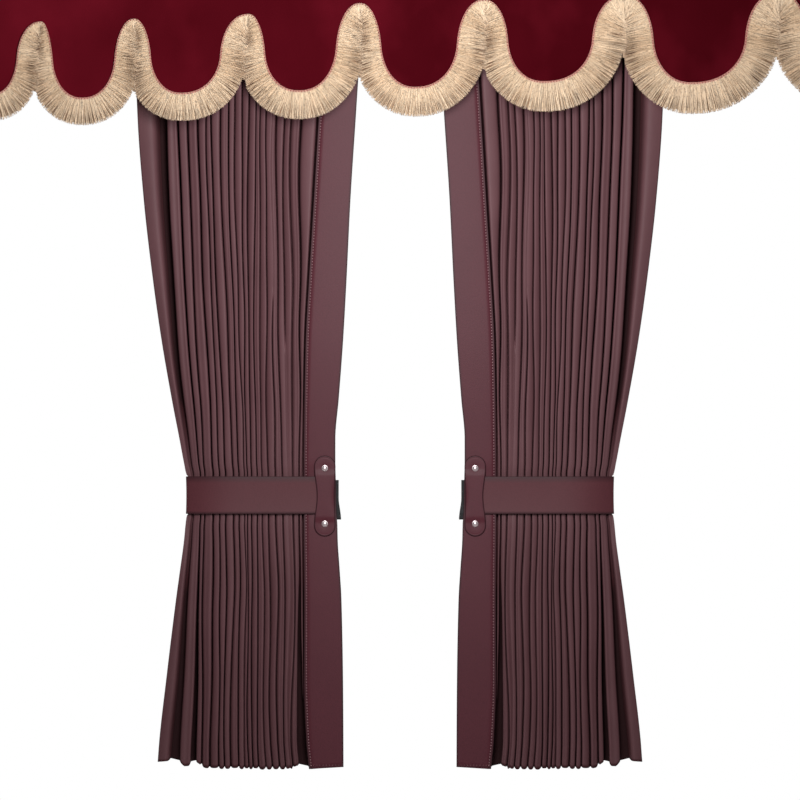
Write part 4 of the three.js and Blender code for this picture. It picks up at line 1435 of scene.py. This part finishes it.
def buildTab(side):
    quarter = math.pi / 2
    height = tab["halfLength"] * np.sin(np.linspace(-quarter, quarter, tab["rows"]))[::-1, None]
    shares = np.sin(np.linspace(-quarter, quarter, tab["columns"]))
    past = np.clip(np.abs(height) - tabEnd, 0, None)
    rounded = np.sqrt(np.maximum(0.05, tab["endRadius"] ** 2 - past**2))
    neck = np.cos(quarter * np.clip(height / tabEnd, -1, 1)) ** 2
    half = np.where(past > 0, rounded, tab["endRadius"] + (tab["neckHalf"] - tab["endRadius"]) * neck)
    across = half * shares
    inside = np.where(past > 0, tab["endRadius"] - np.hypot(across, past), half - np.abs(across))
    drop = tab["radius"] * (1 - np.sqrt(1 - between(inside, tab["radius"], 0) ** 2))
    pressed = tab["pressed"] * hump(inside - tab["pressedAt"], tab["pressedWidth"])
    toStud = np.hypot(across, np.abs(height) - stud["spacing"] / 2)
    dimple = tab["dimple"] * hump(toStud, tab["dimpleWidth"])
    back = tabBack(height)
    front = back - tab["thickness"] + np.minimum(drop, tab["thickness"] * 0.8) + pressed + dimple
    turnedBack = tab["turnBack"] * hump(height, tab["turnReach"]) * ((shares + 1) / 2) ** tab["turnPower"]
    x = -tab["middle"] + tab["neckShift"] * neck + across
    faces = [grid(x, depth + turnedBack, tab["centre"] + height) for depth in (front, back)]
    rings = np.concatenate([faces[0], faces[1][:, ::-1]], axis=1)
    piece = ringPiece(side, "KeeperTab", rings, leatherette)
    # inked edges with painted shade beside them; the back is painted fully dark as shade
    rim = np.concatenate([np.clip(1.6 - inside / tab["inkAndShadeWidth"], 0, 1), np.ones_like(inside)], axis=1)
    setColumns(piece.data, {"rim": flip(rim, side).ravel()})
    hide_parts(side + "_keeper_tab")


def rivetMesh():  # a domed head with a thin rolled rim, turned about the axis that faces the viewer
    radius, rim = stud["radius"], stud["rim"]
    profile = [(radius, 0.0), (radius, rim * 0.6), (radius * 0.96, rim), (radius * 0.86, rim * 0.8)]
    for t in np.linspace(0, math.pi / 2, stud["domeSteps"])[:-1]:
        profile.append((radius * stud["dome"] * math.cos(t), rim + (stud["height"] - rim) * math.sin(t)))
    turns = np.linspace(0, 2 * math.pi, stud["turns"], endpoint=False)
    rings = [[(r * math.cos(t), -h, r * math.sin(t)) for t in turns] for r, h in profile]
    return ringMesh("rivetHead", np.array(rings))


def buildRivets():
    head = linkPiece("rivetHead", rivetMesh(), nickel)
    places = []
    for side in (-1, 1):
        for height in (stud["spacing"] / 2, -stud["spacing"] / 2):
            depth = tabBack(height) - tab["thickness"] - stud["standOff"]
            places.append((side * tab["middle"], depth, tab["centre"] + height))
    tree = GrowTree("rivets", {})
    source = tree.node("GeometryNodeObjectInfo", {"Object": head}, "Geometry")
    placed = tree.node("GeometryNodeInstanceOnPoints", {"Points": tree.entry, "Instance": source})
    tree.close(tree.realize(placed), nickel)
    grown = tree.grow("rivets", plainMesh("rivetPlaces", np.array(places)))
    bpy.data.objects.remove(head)
    piece = linkPiece("rivets", grown, nickel)
    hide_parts("left_stud_upper", "left_stud_lower", "right_stud_upper", "right_stud_lower")


for sideName in ("left", "right"):
    for build in (buildCloth, buildBand, buildBandStitches, buildBelt, buildClosure, buildTab):
        build(sideName)
    print(sideName, "curtain made")
buildRivets()


# Studio

studio = {
    "lens": 720.0,
    "sensor": 36,
    "distance": 20.0,  # from the pleats: 1 m fills the picture
    "viewHeight": -0.575,
    "ambient": 0.13,
    "floorZ": -1.3,
    "floorSize": 4.2,
    "floor": "f2f1f0",
}
lights = [  # name, place, target, power and size
    ("key", (0, -1.0, -0.16), (0, 0, -0.19), 13.7, (0.3, 0.7)),
    ("fill", (0.9, -2.4, -0.2), (0, 0, -0.5), 1.2, (1.6, 1.6)),
    ("behind", (0.4, 2.2, 1.4), (0, 0, -0.7), 45.0, (2.4, 2.4)),
]


def buildLight(name, place, target, power, size):
    light = bpy.data.lights.new(name, "AREA")
    light.energy = power
    light.shape = "RECTANGLE"
    light.size, light.size_y = size
    lamp = bpy.data.objects.new(name, light)
    bpy.context.scene.collection.objects.link(lamp)
    lamp.location = place
    aim = np.array(target) - np.array(place)
    lamp.rotation_euler = (math.acos(-aim[2] / np.linalg.norm(aim)), 0, math.atan2(-aim[0], aim[1]))
    lamp.visible_camera = False


def buildCamera():
    camera = bpy.data.objects.new("camera", bpy.data.cameras.new("camera"))
    bpy.context.scene.collection.objects.link(camera)
    camera.data.lens = studio["lens"]
    camera.data.sensor_width = studio["sensor"]
    camera.location = (0, cloth["front"] * mm - studio["distance"], studio["viewHeight"])
    camera.rotation_euler = (math.pi / 2, 0, 0)
    bpy.context.scene.camera = camera


def buildWorld():  # dim light from all round, and white behind the object
    world = bpy.data.worlds.new("studio")
    bpy.context.scene.world = world
    world.use_nodes = True
    tree = Tree(world.node_tree)
    room = tree.node("ShaderNodeBackground", {"Color": (1, 1, 1, 1), "Strength": studio["ambient"]})
    paper = tree.node("ShaderNodeBackground", {"Color": (1, 1, 1, 1), "Strength": 1.0})
    seen = tree.node("ShaderNodeLightPath", output="Is Camera Ray")
    either = tree.node("ShaderNodeMixShader", {0: seen, 1: room, 2: paper})
    tree.node("ShaderNodeOutputWorld", {"Surface": either})


def floorSurface(tree, look):
    return {"Base Color": paint(look["floor"]), "Roughness": 0.9}


def buildFloor():
    half = studio["floorSize"] / 2
    corners = [(-half, -half), (half, -half), (half, half), (-half, half)]
    mesh = bpy.data.meshes.new("floor")
    mesh.from_pydata([(x, y, studio["floorZ"]) for x, y in corners], [], [(0, 1, 2, 3)])
    floor = bpy.data.objects.new("floor", mesh)
    bpy.context.scene.collection.objects.link(floor)
    mesh.materials.append(finish("paleFloor", floorSurface, studio))


buildCamera()
for light in lights:
    buildLight(*light)
buildWorld()
buildFloor()
bpy.context.scene.view_settings.view_transform = "Standard"
print("studio made")
